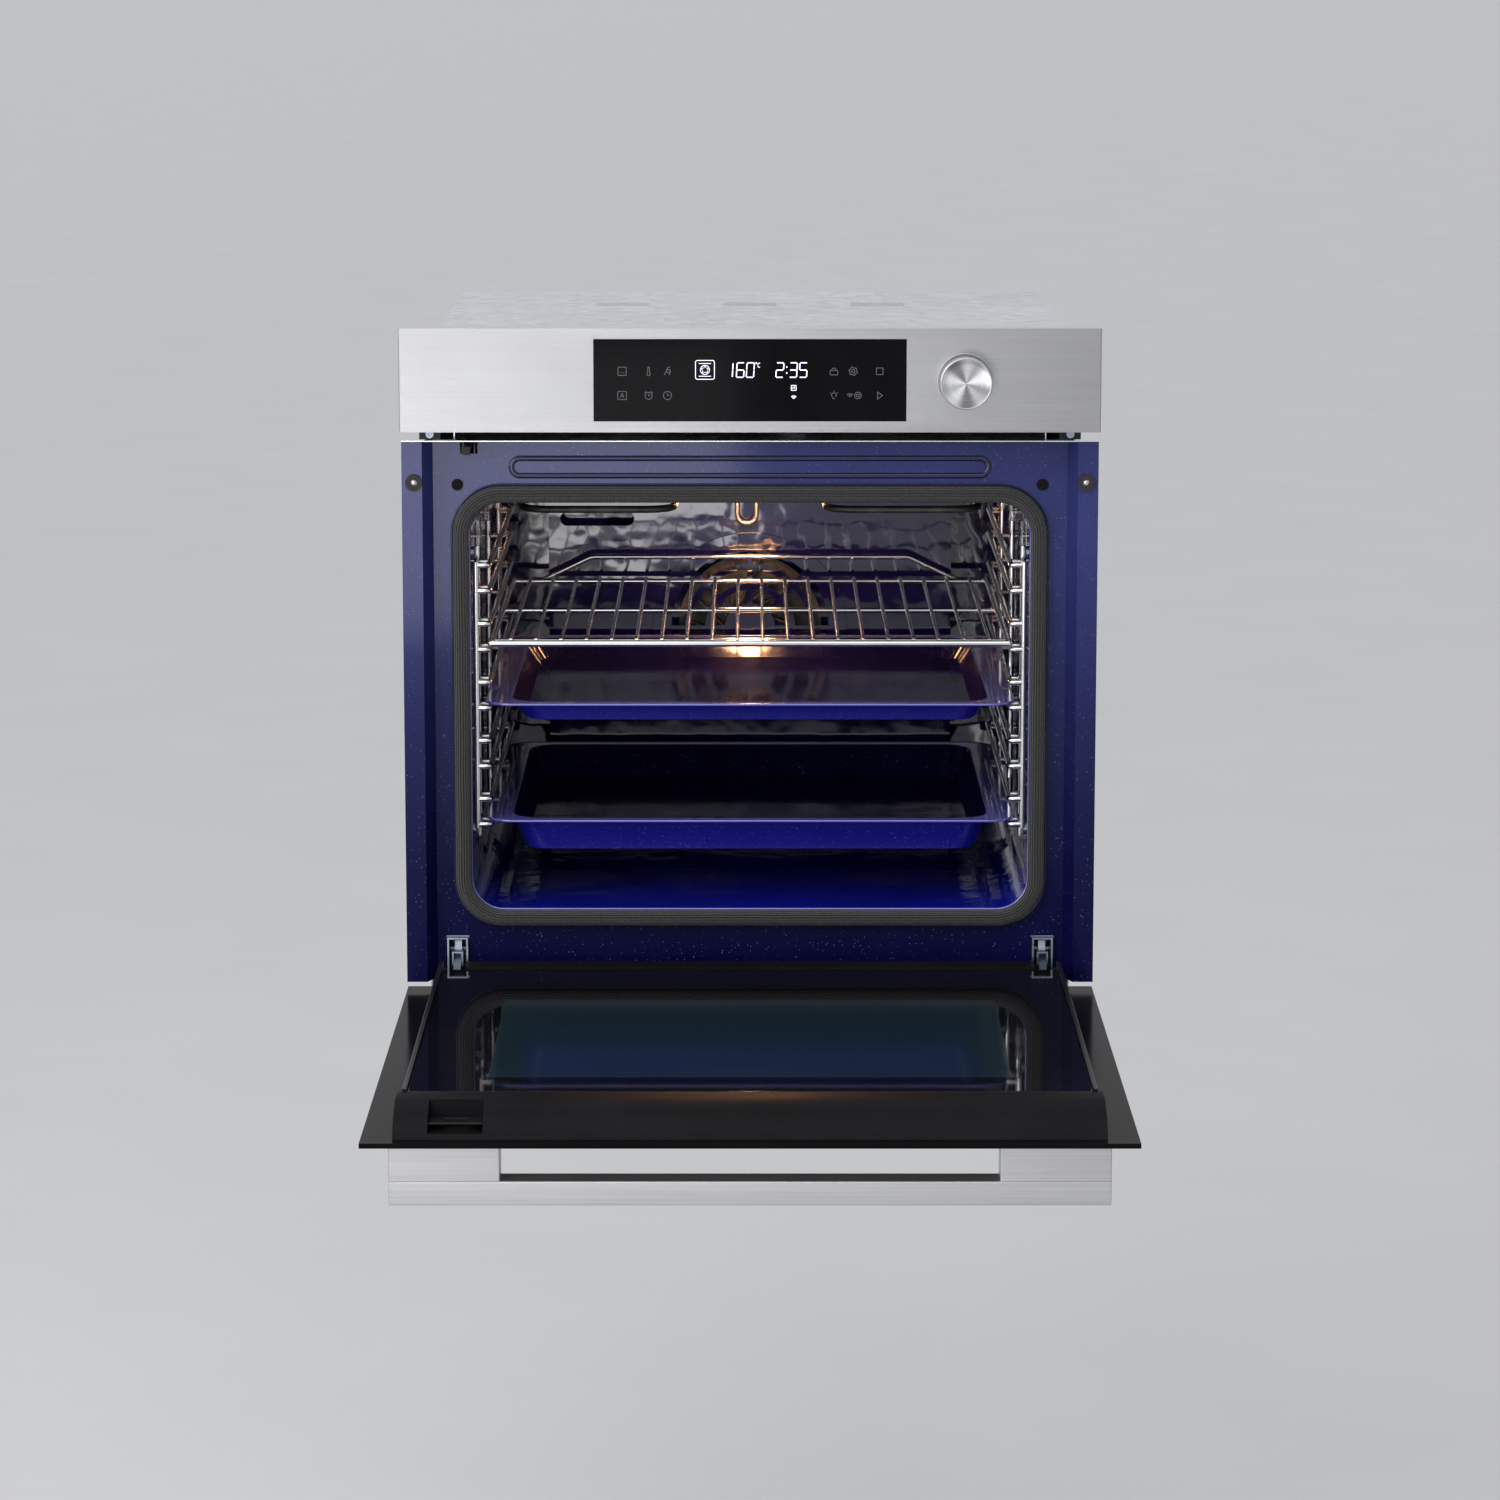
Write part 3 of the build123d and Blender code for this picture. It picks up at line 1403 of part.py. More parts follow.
def hinge_spring(sign):
    x = sign * hinge_x
    low = rod_collar_rise + rod_collar_length + spring_wire + joint_gap
    high = case_stop_rise - spring_wire - joint_gap
    pitch = (high - low) / spring_turns
    path = Helix(pitch=pitch, height=high - low, radius=spring_radius)
    section = Plane(path @ 0, z_dir=path % 0) * Circle(spring_wire)
    coil = sweep(section, path=path, is_frenet=True)
    return Pos(x, hinge_y - low, hinge_z + rod_lift) * Rot(90, 0, 0) * coil


def hinge_clip(sign):
    x = sign * hinge_x
    inner = arm_thick / 2 + clip_gap
    outer = inner + clip_plate
    clip = block(x - outer, x + outer, clip_y - clip_half, clip_y + clip_half, clip_z,
                 clip_z + clip_rise)
    clip += rod_x(x - outer, x + outer, clip_y, clip_z, clip_half)
    clip -= block(x - inner, x + inner, clip_y - 2 * reach, clip_y + 2 * reach, clip_z - 2 * reach,
                  clip_z + clip_rise - clip_plate)
    return clip + rod_x(x - inner - 0.5, x + inner + 0.5, clip_y, clip_z, clip_pin)


# ---------------------------------------------------------------- handle

def handle_bar():
    half = handle_width / 2
    high = glass_face - handle_stand
    bar = door_block(-half, half, handle_front_rise - handle_bar_height, handle_front_rise,
                     high - handle_bar_depth, high)
    return fillet(bar.edges().filter_by(Axis.X), handle_edge)


def handle_bracket(sign):
    outer = sign * handle_width / 2
    inner = outer - sign * handle_bracket_width
    low, high = sorted((outer, inner))
    rear_rise = handle_front_rise - handle_bar_height
    bracket = door_block(low, high, rear_rise, handle_front_rise, glass_face - handle_stand, glass_face)
    bracket = fillet(bracket.edges().filter_by(Axis.Z), handle_edge)
    for x in handle_screw_x():
        if low < x < high:
            bracket -= rod_z(x, hinge_y - handle_screw_rise, hinge_z + glass_face - handle_screw_bite,
                             hinge_z + glass_face + over, handle_screw_radius)
    return bracket


def handle_screws():
    screws = []
    for x in handle_screw_x():
        y = hinge_y - handle_screw_rise
        base = hinge_z + glass_inner
        head = rod_z(x, y, base, base + handle_screw_head_height, handle_screw_head)
        shank = rod_z(x, y, hinge_z + glass_face - handle_screw_bite, base, handle_screw_radius)
        screws.append(head + shank)
    return Compound(children=screws)


# ---------------------------------------------------------------- all pieces

def pair(make):
    """The left and the right piece of one kind, as two separate solids."""
    return Compound(children=[make(-1), make(1)])


def all_parts():
    return {
        "housing_base": housing_base(),
        "housing_sides": pair(housing_side),
        "housing_top": housing_top(),
        "housing_rear": housing_rear(),
        "panel_screws": panel_screws(),
        "front_frame": front_frame(),
        "flange_grommets": flange_grommets(),
        "frame_plugs": frame_plugs(),
        "cavity_liner": cavity_liner(),
        "door_gasket": door_gasket(),
        "insulation_blanket": insulation_blanket(),
        "rear_baffle": rear_baffle(),
        "convection_impeller": convection_impeller(),
        "convection_motor": convection_motor(),
        "ring_heater": ring_heater(),
        "grill_element": grill_element(),
        "bottom_element": bottom_element(),
        "lamp_housing": lamp_housing(),
        "lamp_bulb": lamp_bulb(),
        "lamp_lens": lamp_lens(),
        "temperature_probe": temperature_probe(),
        "side_racks": pair(side_rack),
        "rack_studs": rack_studs(),
        "wire_shelf": wire_shelf(),
        "baking_tray": tray(baking_level, baking_depth),
        "deep_tray": tray(deep_level, deep_depth),
        "control_fascia": control_fascia(),
        "display_glass": display_glass(),
        "panel_carrier": panel_carrier(),
        "power_board": power_board(),
        "knob_bezel": knob_bezel(),
        "control_knob": control_knob(),
        "knob_shaft": knob_shaft(),
        "knob_sleeve": knob_sleeve(),
        "knob_encoder": knob_encoder(),
        "air_guide": air_guide(),
        "blower_housing": blower_housing(),
        "cooling_rotor": cooling_rotor(),
        "cooling_motor": cooling_motor(),
        "terminal_box": terminal_box(),
        "cable_inlet": cable_inlet(),
        "door_outer_glass": door_outer_glass(),
        "door_middle_glass": door_middle_glass(),
        "door_inner_glass": door_inner_glass(),
        "door_rails": pair(door_rail),
        "door_bottom_rail": door_bottom_rail(),
        "door_top_cap": door_top_cap(),
        "door_keeper": door_keeper(),
        "lock_hook": lock_hook(),
        "lock_housing": lock_housing(),
        "hinge_receivers": pair(hinge_receiver),
        "hinge_arms": pair(hinge_arm),
        "hinge_cases": pair(hinge_case),
        "hinge_rods": pair(hinge_rod),
        "hinge_springs": pair(hinge_spring),
        "hinge_clip_left": hinge_clip(-1),
        "hinge_clip_right": hinge_clip(1),
        "handle_bar": handle_bar(),
        "handle_brackets": pair(handle_bracket),
        "handle_screws": handle_screws(),
    }


def main():
    os.makedirs("parts", exist_ok=True)
    for name, shape in all_parts().items():
        export_step(shape, f"parts/{name}.step")


main()
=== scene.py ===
import json
import math

import bmesh
import bpy
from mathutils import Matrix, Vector


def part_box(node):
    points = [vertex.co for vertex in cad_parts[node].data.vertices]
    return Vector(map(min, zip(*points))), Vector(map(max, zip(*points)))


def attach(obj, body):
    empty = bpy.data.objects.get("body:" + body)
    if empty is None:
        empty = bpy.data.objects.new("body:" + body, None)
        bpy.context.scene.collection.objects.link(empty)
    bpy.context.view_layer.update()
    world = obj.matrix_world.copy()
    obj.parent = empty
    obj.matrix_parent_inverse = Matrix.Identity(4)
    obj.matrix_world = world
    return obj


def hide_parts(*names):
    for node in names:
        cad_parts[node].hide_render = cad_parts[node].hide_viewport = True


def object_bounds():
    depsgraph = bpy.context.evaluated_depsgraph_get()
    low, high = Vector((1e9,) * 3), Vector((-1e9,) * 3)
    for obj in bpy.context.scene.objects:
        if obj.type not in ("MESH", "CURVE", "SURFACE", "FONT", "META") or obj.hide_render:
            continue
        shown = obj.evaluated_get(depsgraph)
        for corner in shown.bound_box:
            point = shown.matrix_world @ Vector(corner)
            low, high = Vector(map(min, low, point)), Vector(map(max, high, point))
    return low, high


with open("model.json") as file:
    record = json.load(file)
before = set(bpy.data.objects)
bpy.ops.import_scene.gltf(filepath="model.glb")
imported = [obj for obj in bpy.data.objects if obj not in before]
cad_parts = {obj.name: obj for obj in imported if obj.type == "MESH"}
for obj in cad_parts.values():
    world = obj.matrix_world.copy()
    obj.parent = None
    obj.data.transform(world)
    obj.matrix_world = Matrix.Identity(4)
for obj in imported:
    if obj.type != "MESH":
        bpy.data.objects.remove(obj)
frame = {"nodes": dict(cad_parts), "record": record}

cadLow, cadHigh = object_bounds()
scene = bpy.context.scene
print("frame loaded")

# shared node tools

def newGroup(name, inputs, outputs):
    group = bpy.data.node_groups.new(name, "ShaderNodeTree")
    for label, kind, value in inputs:
        socket = group.interface.new_socket(label, in_out="INPUT", socket_type="NodeSocket" + kind)
        if value is not None:
            socket.default_value = value
    for label, kind in outputs:
        group.interface.new_socket(label, in_out="OUTPUT", socket_type="NodeSocket" + kind)
    return group, group.nodes.new("NodeGroupInput"), group.nodes.new("NodeGroupOutput")


def addNode(tree, kind, values=None, **props):
    node = tree.nodes.new("ShaderNode" + kind)
    for key, value in props.items():
        setattr(node, key, value)
    for key, value in (values or {}).items():
        node.inputs[key].default_value = value
    return node


def join(tree, *pairs):
    for start, end in pairs:
        tree.links.new(start, end)


def mathNode(tree, operation, a, b=None):
    node = addNode(tree, "Math", operation=operation)
    for slot, value in enumerate((a, b)):
        if value is None:
            continue
        if isinstance(value, (int, float)):
            node.inputs[slot].default_value = value
        else:
            tree.links.new(value, node.inputs[slot])
    return node.outputs[0]


def scaleAdd(tree, value, scale, offset):
    return mathNode(tree, "ADD", mathNode(tree, "MULTIPLY", value, scale), offset)


def mixColour(tree, factor, a, b, blend="MIX"):
    node = addNode(tree, "Mix", data_type="RGBA", blend_type=blend)
    for slot, value in ((0, factor), (6, a), (7, b)):
        if isinstance(value, (int, float, tuple)):
            node.inputs[slot].default_value = value
        else:
            tree.links.new(value, node.inputs[slot])
    return node.outputs[2]


def rampNode(tree, source, stops):
    node = addNode(tree, "ValToRGB")
    ramp = node.color_ramp
    while len(ramp.elements) < len(stops):
        ramp.elements.new(0.5)
    for element, (place, shade) in zip(ramp.elements, stops):
        element.position = place
        element.color = (shade, shade, shade, 1) if isinstance(shade, (int, float)) else shade
    tree.links.new(source, node.inputs[0])
    return node.outputs[0]


def buildFlecks():
    # pale flecks fired into enamel: small dots of uneven size
    group, start, end = newGroup("enamelFlecks", [("Density", "Float", 420.0), ("Size", "Float", 0.12)],
                                 [("Mask", "Float")])
    coords = addNode(group, "TexCoord")
    cells = addNode(group, "TexVoronoi", {"Randomness": 1.0}, feature="F1")
    fade = addNode(group, "TexNoise", {"Scale": 90.0, "Detail": 2.0})
    join(group, (coords.outputs["Object"], cells.inputs["Vector"]),
         (coords.outputs["Object"], fade.inputs["Vector"]),
         (start.outputs["Density"], cells.inputs["Scale"]))
    reach = mathNode(group, "MULTIPLY", start.outputs["Size"], fade.outputs["Fac"])
    dot = mathNode(group, "LESS_THAN", cells.outputs["Distance"], reach)
    pick = mathNode(group, "GREATER_THAN", cells.outputs["Color"], 0.45)
    join(group, (mathNode(group, "MULTIPLY", dot, pick), end.inputs["Mask"]))
    return group


def buildWaves():
    # slow ripple of poured enamel and the finer orange peel on it
    group, start, end = newGroup("enamelRipple", [("Slow", "Float", 14.0), ("Fine", "Float", 110.0),
                                                  ("Fine Share", "Float", 0.25)], [("Height", "Float")])
    coords = addNode(group, "TexCoord")
    slow = addNode(group, "TexNoise", {"Detail": 2.0, "Roughness": 0.5})
    fine = addNode(group, "TexNoise", {"Detail": 1.0})
    join(group, (coords.outputs["Object"], slow.inputs["Vector"]),
         (coords.outputs["Object"], fine.inputs["Vector"]),
         (start.outputs["Slow"], slow.inputs["Scale"]), (start.outputs["Fine"], fine.inputs["Scale"]))
    share = mathNode(group, "MULTIPLY", fine.outputs["Fac"], start.outputs["Fine Share"])
    join(group, (mathNode(group, "ADD", slow.outputs["Fac"], share), end.inputs["Height"]))
    return group


def buildBrushing():
    # long scratches along one axis: Stretch squeezes the pattern's axes
    group, start, end = newGroup("brushedGrain", [("Stretch", "Vector", (2.0, 400.0, 400.0))],
                                 [("Height", "Float"), ("Tone", "Float")])
    coords = addNode(group, "TexCoord")
    scaled = addNode(group, "VectorMath", operation="MULTIPLY")
    lines = addNode(group, "TexNoise", {"Scale": 4.0, "Detail": 4.0, "Roughness": 0.65})
    bands = addNode(group, "TexNoise", {"Scale": 1.6, "Detail": 2.0})
    join(group, (coords.outputs["Object"], scaled.inputs[0]), (start.outputs["Stretch"], scaled.inputs[1]),
         (scaled.outputs[0], lines.inputs["Vector"]), (scaled.outputs[0], bands.inputs["Vector"]),
         (lines.outputs["Fac"], end.inputs["Height"]))
    both = mathNode(group, "ADD", mathNode(group, "MULTIPLY", lines.outputs["Fac"], 0.75),
                    mathNode(group, "MULTIPLY", bands.outputs["Fac"], 0.25))
    join(group, (both, end.inputs["Tone"]))
    return group


def buildSmudge():
    # faint handling marks and settled dust: a broad cloud and a fine grain
    group, start, end = newGroup("handlingMarks", [("Scale", "Float", 9.0)],
                                 [("Mask", "Float"), ("Grain", "Float")])
    coords = addNode(group, "TexCoord")
    cloud = addNode(group, "TexNoise", {"Detail": 5.0, "Roughness": 0.62, "Distortion": 0.6})
    grain = addNode(group, "TexNoise", {"Scale": 700.0, "Detail": 1.0})
    join(group, (coords.outputs["Object"], cloud.inputs["Vector"]),
         (coords.outputs["Object"], grain.inputs["Vector"]),
         (start.outputs["Scale"], cloud.inputs["Scale"]), (grain.outputs["Fac"], end.inputs["Grain"]))
    join(group, (rampNode(group, cloud.outputs["Fac"], [(0.38, 0.0), (0.72, 1.0)]), end.inputs["Mask"]))
    return group


def buildPaintedLightByHeight():
    # 0 at the Low height and 1 at the High one: the share of a height tint that stands in for light and
    # shade, painted shade low on the front frame and painted light on the cavity floor
    group, start, end = newGroup("paintedLightByHeight", [("Low", "Float", 0.0), ("High", "Float", 1.0)],
                                 [("Share", "Float")])
    coords = addNode(group, "TexCoord")
    axes = addNode(group, "SeparateXYZ")
    spread = addNode(group, "MapRange", interpolation_type="SMOOTHSTEP")
    join(group, (coords.outputs["Object"], axes.inputs[0]), (axes.outputs[2], spread.inputs["Value"]),
         (start.outputs["Low"], spread.inputs["From Min"]),
         (start.outputs["High"], spread.inputs["From Max"]),
         (spread.outputs[0], end.inputs["Share"]))
    return group


flecks = buildFlecks()
ripple = buildWaves()
brushing = buildBrushing()
smudge = buildSmudge()
paintedLightByHeight = buildPaintedLightByHeight()


def useGroup(tree, group, **values):
    node = tree.nodes.new("ShaderNodeGroup")
    node.node_tree = group
    for key, value in values.items():
        node.inputs[key.replace("_", " ")].default_value = value
    return node


def newMaterial(name, settings):
    material = bpy.data.materials.new(name)
    material.use_nodes = True
    shader = material.node_tree.nodes["Principled BSDF"]
    for key, value in settings.items():
        shader.inputs[key].default_value = value
    return material, material.node_tree, shader


def bumpInto(tree, shader, height, strength, distance, under=None):
    bump = addNode(tree, "Bump", {"Strength": strength, "Distance": distance})
    join(tree, (height, bump.inputs["Height"]), (bump.outputs["Normal"], shader.inputs["Normal"]))
    if under:
        join(tree, (under, bump.inputs["Normal"]))
    return bump.outputs["Normal"]


def enamel(name, look):
    material, tree, shader = newMaterial(name, {"Roughness": look["roughness"],
                                                "Coat Roughness": look["coatRough"], "IOR": 1.5,
                                                "Specular IOR Level": look["gloss"]})
    dots = useGroup(tree, flecks, Density=look["density"], Size=look["size"])
    waves = useGroup(tree, ripple, Slow=look["slow"], Fine=look["fine"], Fine_Share=look["fineShare"])
    marks = useGroup(tree, smudge, Scale=7.0)
    deep, light = look["deep"] + (1,), look["light"] + (1,)
    base = mixColour(tree, marks.outputs["Mask"], deep, light)
    # painted light and shade by height: below the span the colour is multiplied by the tint, darker at the
    # front frame's bottom, brighter and bluer on the cavity floor
    tone = useGroup(tree, paintedLightByHeight, Low=look["fall"][0], High=look["fall"][1])
    base = mixColour(tree, tone.outputs["Share"],
                     mixColour(tree, 1.0, base, look["foot"] + (1,), "MULTIPLY"), base)
    base = mixColour(tree, mathNode(tree, "MULTIPLY", dots.outputs["Mask"], look["fleck"]), base,
                     (0.3, 0.35, 0.75, 1))
    rough = scaleAdd(tree, marks.outputs["Mask"], 0.05, look["roughness"])
    # less of the clear top layer lower down, by the same share
    clear = scaleAdd(tree, tone.outputs["Share"], look["coat"] * 0.85, look["coat"] * 0.15)
    join(tree, (base, shader.inputs["Base Color"]), (rough, shader.inputs["Roughness"]),
         (clear, shader.inputs["Coat Weight"]))
    bumpInto(tree, shader, waves.outputs["Height"], look["bump"], 0.004)
    return material


def brushedSteel(name, look):
    material, tree, shader = newMaterial(name, {"Metallic": 1.0, "Roughness": look["roughness"]})
    grain = useGroup(tree, brushing, Stretch=look["stretch"])
    marks = useGroup(tree, smudge, Scale=6.0)
    dark, light = look["dark"] + (1,), look["light"] + (1,)
    base = mixColour(tree, rampNode(tree, grain.outputs["Tone"], [(0.3, 0.0), (0.7, 1.0)]), dark, light)
    rough = scaleAdd(tree, grain.outputs["Height"], 0.16, look["roughness"] - 0.08)
    rough = scaleAdd(tree, marks.outputs["Mask"], 0.04, rough)
    join(tree, (base, shader.inputs["Base Color"]), (rough, shader.inputs["Roughness"]))
    bumpInto(tree, shader, grain.outputs["Height"], look["bump"], 0.0006)
    return material


def plainMetal(name, look):
    material, tree, shader = newMaterial(name, {"Metallic": 1.0, "Roughness": look["roughness"]})
    marks = useGroup(tree, smudge, Scale=look["scale"])
    base = mixColour(tree, marks.outputs["Mask"], look["dark"] + (1,), look["light"] + (1,))
    rough = scaleAdd(tree, marks.outputs["Mask"], look["spread"], look["roughness"])
    join(tree, (base, shader.inputs["Base Color"]), (rough, shader.inputs["Roughness"]))
    bumpInto(tree, shader, marks.outputs["Grain"], look["bump"], 0.0004)
    return material


def galvanised(name, look):
    # zinc spangle: flat crystals of slightly different grey
    material, tree, shader = newMaterial(name, {"Metallic": 1.0, "Roughness": look["roughness"]})
    coords = addNode(tree, "TexCoord")
    crystals = addNode(tree, "TexVoronoi", {"Scale": look["scale"], "Randomness": 1.0}, feature="F1")
    marks = useGroup(tree, smudge, Scale=5.0)
    join(tree, (coords.outputs["Object"], crystals.inputs["Vector"]))
    tone = addNode(tree, "SeparateColor")
    join(tree, (crystals.outputs["Color"], tone.inputs[0]))
    base = mixColour(tree, tone.outputs[0], look["dark"] + (1,), look["light"] + (1,))
    base = mixColour(tree, mathNode(tree, "MULTIPLY", marks.outputs["Mask"], 0.25), base,
                     (0.35, 0.36, 0.38, 1))
    rough = scaleAdd(tree, tone.outputs[1], 0.18, look["roughness"])
    join(tree, (base, shader.inputs["Base Color"]), (rough, shader.inputs["Roughness"]))
    bumpInto(tree, shader, marks.outputs["Grain"], 0.15, 0.0003)
    return material


def mouldedPlastic(name, look):
    material, tree, shader = newMaterial(name, {"Roughness": look["roughness"], "IOR": 1.48,
                                                "Specular IOR Level": look["gloss"]})
    marks = useGroup(tree, smudge, Scale=11.0)
    base = mixColour(tree, marks.outputs["Mask"], look["dark"] + (1,), look["light"] + (1,))
    rough = scaleAdd(tree, marks.outputs["Mask"], 0.08, look["roughness"])
    join(tree, (base, shader.inputs["Base Color"]), (rough, shader.inputs["Roughness"]))
    bumpInto(tree, shader, marks.outputs["Grain"], look["bump"], 0.0003)
    return material


enamelBase = dict(fleck=0.3, density=520.0, size=0.2, slow=9.0, fine=90.0, fineShare=0.1, bump=0.03,
                  roughness=0.1, coat=1.0, coatRough=0.05, gloss=1.0, fall=(0.0, 0.05),
                  foot=(1.0, 1.0, 1.0))
finishes = {
    # frontEnamel's tint darkens its lower part as painted shade; cavityEnamel's tint brightens its floor
    # as painted light
    "frontEnamel": dict(enamelBase, deep=(0.024, 0.030, 0.130), light=(0.033, 0.040, 0.165), fleck=0.5,
                        density=340.0, slow=7.0, fine=60.0, fineShare=0.12, bump=0.06, roughness=0.34,
                        coat=0.5, coatRough=0.08, gloss=0.07, fall=(0.05, 0.5), foot=(0.09, 0.08, 0.27)),
    "cavityEnamel": dict(enamelBase, deep=(0.004, 0.004, 0.05), light=(0.006, 0.006, 0.075), fleck=0.2,
                         density=380.0, size=0.18, slow=20.0, fine=70.0, fineShare=0.12, bump=0.22,
                         roughness=0.04, coat=0.0, coatRough=0.03, fall=(0.085, 0.13),
                         foot=(1.0, 1.6, 4.0)),
    "trayEnamel": dict(enamelBase, deep=(0.009, 0.009, 0.24), light=(0.012, 0.012, 0.30), fleck=0.6,
                       size=0.24, bump=0.05, roughness=0.16, coat=0.3, coatRough=0.06, gloss=0.5),
    # a paler copy of the tray enamel, as painted highlight on rims and edges
    "paintedHighlightEnamel": dict(enamelBase, deep=(0.10, 0.095, 0.42), light=(0.12, 0.11, 0.47)),
    # a dark copy of the frame enamel, as painted shade in the pressed channels
    "grooveShadeEnamel": dict(enamelBase, deep=(0.006, 0.007, 0.04), light=(0.009, 0.010, 0.055), bump=0.02,
                       roughness=0.2, coat=0.4, gloss=0.4, fall=(-1.0, 0.0)),
    "trayInside": dict(enamelBase, deep=(0.004, 0.003, 0.03), light=(0.007, 0.006, 0.055), fleck=0.55,
                       size=0.24, slow=18.0, fineShare=0.12, bump=0.12, roughness=0.08, coat=0.0,
                       coatRough=0.06, gloss=0.8),
}
frontEnamel, cavityEnamel, trayEnamel, trayInside, paintedHighlightEnamel, grooveShadeEnamel = (
    enamel(name, finishes[name])
    for name in ("frontEnamel", "cavityEnamel", "trayEnamel", "trayInside", "paintedHighlightEnamel", "grooveShadeEnamel"))
fasciaSteel = brushedSteel("fasciaSteel", dict(dark=(0.42, 0.42, 0.43), light=(0.50, 0.50, 0.51),
                                               roughness=0.3, stretch=(1.5, 420.0, 420.0), bump=0.12))
handleSteel = brushedSteel("handleSteel", dict(dark=(0.46, 0.46, 0.47), light=(0.60, 0.60, 0.61),
                                               roughness=0.4, stretch=(1.5, 480.0, 480.0), bump=0.12))
chrome = plainMetal("chromePlate", dict(dark=(0.62, 0.62, 0.63), light=(0.78, 0.78, 0.79),
                                        roughness=0.12, spread=0.1, scale=14.0, bump=0.05))
hingeSteel = plainMetal("zincPlate", dict(dark=(0.32, 0.37, 0.46), light=(0.5, 0.55, 0.64),
                                          roughness=0.32, spread=0.15, scale=30.0, bump=0.1))
heaterSheath = plainMetal("heaterSheath", dict(dark=(0.05, 0.05, 0.052), light=(0.16, 0.15, 0.14),
                                               roughness=0.45, spread=0.2, scale=40.0, bump=0.3))
zincSheet = galvanised("galvanisedSheet", dict(dark=(0.50, 0.52, 0.54), light=(0.60, 0.62, 0.64),
                                               roughness=0.38, scale=90.0))
aluminium = plainMetal("pressedAluminium", dict(dark=(0.55, 0.55, 0.57), light=(0.72, 0.72, 0.74),
                                                roughness=0.3, spread=0.15, scale=20.0, bump=0.1))
brightSheet = plainMetal("brightSheet", dict(dark=(0.78, 0.78, 0.79), light=(0.9, 0.9, 0.9),
                                             roughness=0.22, spread=0.1, scale=20.0, bump=0.05))
motorSteel = plainMetal("motorSteel", dict(dark=(0.3, 0.3, 0.31), light=(0.45, 0.45, 0.46),
                                           roughness=0.4, spread=0.15, scale=25.0, bump=0.15))
blackTrim = mouldedPlastic("darkTrim", dict(dark=(0.005, 0.005, 0.0062), light=(0.008, 0.008, 0.0095),
                                            roughness=0.42, bump=0.25, gloss=0.07))
blackPaint = mouldedPlastic("blackPaint", dict(dark=(0.007, 0.007, 0.008), light=(0.011, 0.011, 0.012),
                                               roughness=0.3, bump=0.1, gloss=0.25))
greyRubber = mouldedPlastic("greyRubber", dict(dark=(0.016, 0.014, 0.013), light=(0.026, 0.023, 0.021),
                                               roughness=0.55, bump=0.3, gloss=0.4))
whitePlastic = mouldedPlastic("heatProofPlastic", dict(dark=(0.62, 0.61, 0.57), light=(0.7, 0.69, 0.66),
                                                       roughness=0.5, bump=0.2, gloss=0.5))
circuitGreen = mouldedPlastic("circuitBoard", dict(dark=(0.02, 0.11, 0.045), light=(0.03, 0.15, 0.06),
                                                   roughness=0.4, bump=0.2, gloss=0.5))


def makeDisplayGlass():
    material, tree, shader = newMaterial("displayGlass", {"Roughness": 0.05, "IOR": 1.5,
                                                          "Specular IOR Level": 0.03})
    marks = useGroup(tree, smudge, Scale=12.0)
    rough = scaleAdd(tree, marks.outputs["Mask"], 0.06, 0.05)
    base = mixColour(tree, marks.outputs["Mask"], (0.005, 0.005, 0.006, 1), (0.007, 0.007, 0.008, 1))
    join(tree, (rough, shader.inputs["Roughness"]), (base, shader.inputs["Base Color"]))
    bumpInto(tree, shader, marks.outputs["Grain"], 0.02, 0.0002)
    return material


def makeDoorGlass():
    # the front pane is printed black on its inside, so it reads as opaque dark glass
    material, tree, shader = newMaterial("printedGlass", {"Roughness": 0.12, "IOR": 1.5,
                                                          "Specular IOR Level": 0.02})
    marks = useGroup(tree, smudge, Scale=5.0)
    base = mixColour(tree, marks.outputs["Mask"], (0.004, 0.004, 0.0045, 1), (0.006, 0.006, 0.0065, 1))
    rough = scaleAdd(tree, marks.outputs["Mask"], 0.08, 0.12)
    join(tree, (base, shader.inputs["Base Color"]), (rough, shader.inputs["Roughness"]))
    bumpInto(tree, shader, marks.outputs["Grain"], 0.03, 0.0002)
    return material


def makePaneGlass():
    # inner pane: black printed border, and a see-through middle with fine printed lines
    window = {"halfWidth": 0.205, "near": -0.138, "far": -0.385, "lineScale": 620.0}
    material, tree, shader = newMaterial("paneGlass", {"Roughness": 0.03, "IOR": 1.5,
                                                       "Specular IOR Level": 0.22})
    coords = addNode(tree, "TexCoord")
    axes = addNode(tree, "SeparateXYZ")
    join(tree, (coords.outputs["Object"], axes.inputs[0]))
    middle = (window["near"] + window["far"]) / 2
    reach = (window["near"] - window["far"]) / 2
    insideX = mathNode(tree, "LESS_THAN", mathNode(tree, "ABSOLUTE", axes.outputs[0]), window["halfWidth"])
    offsetY = mathNode(tree, "ABSOLUTE", mathNode(tree, "SUBTRACT", axes.outputs[1], middle))
    inside = mathNode(tree, "MULTIPLY", insideX, mathNode(tree, "LESS_THAN", offsetY, reach))
    lines = mathNode(tree, "SINE", mathNode(tree, "MULTIPLY", axes.outputs[0],
                                            2 * math.pi * window["lineScale"]))
    stripe = mathNode(tree, "GREATER_THAN", lines, 0.1)
    marks = useGroup(tree, smudge, Scale=6.0)
    frost = scaleAdd(tree, inside, 0.07, 0.03)
    join(tree, (frost, shader.inputs["Roughness"]))
    teal = mixColour(tree, stripe, (0.007, 0.014, 0.019, 1), (0.012, 0.025, 0.033, 1))
    border = mixColour(tree, marks.outputs["Mask"], (0.004, 0.004, 0.005, 1), (0.006, 0.006, 0.007, 1))
    join(tree, (mixColour(tree, inside, border, teal), shader.inputs["Base Color"]))
    bumpInto(tree, shader, marks.outputs["Grain"], 0.02, 0.0002)
    return material


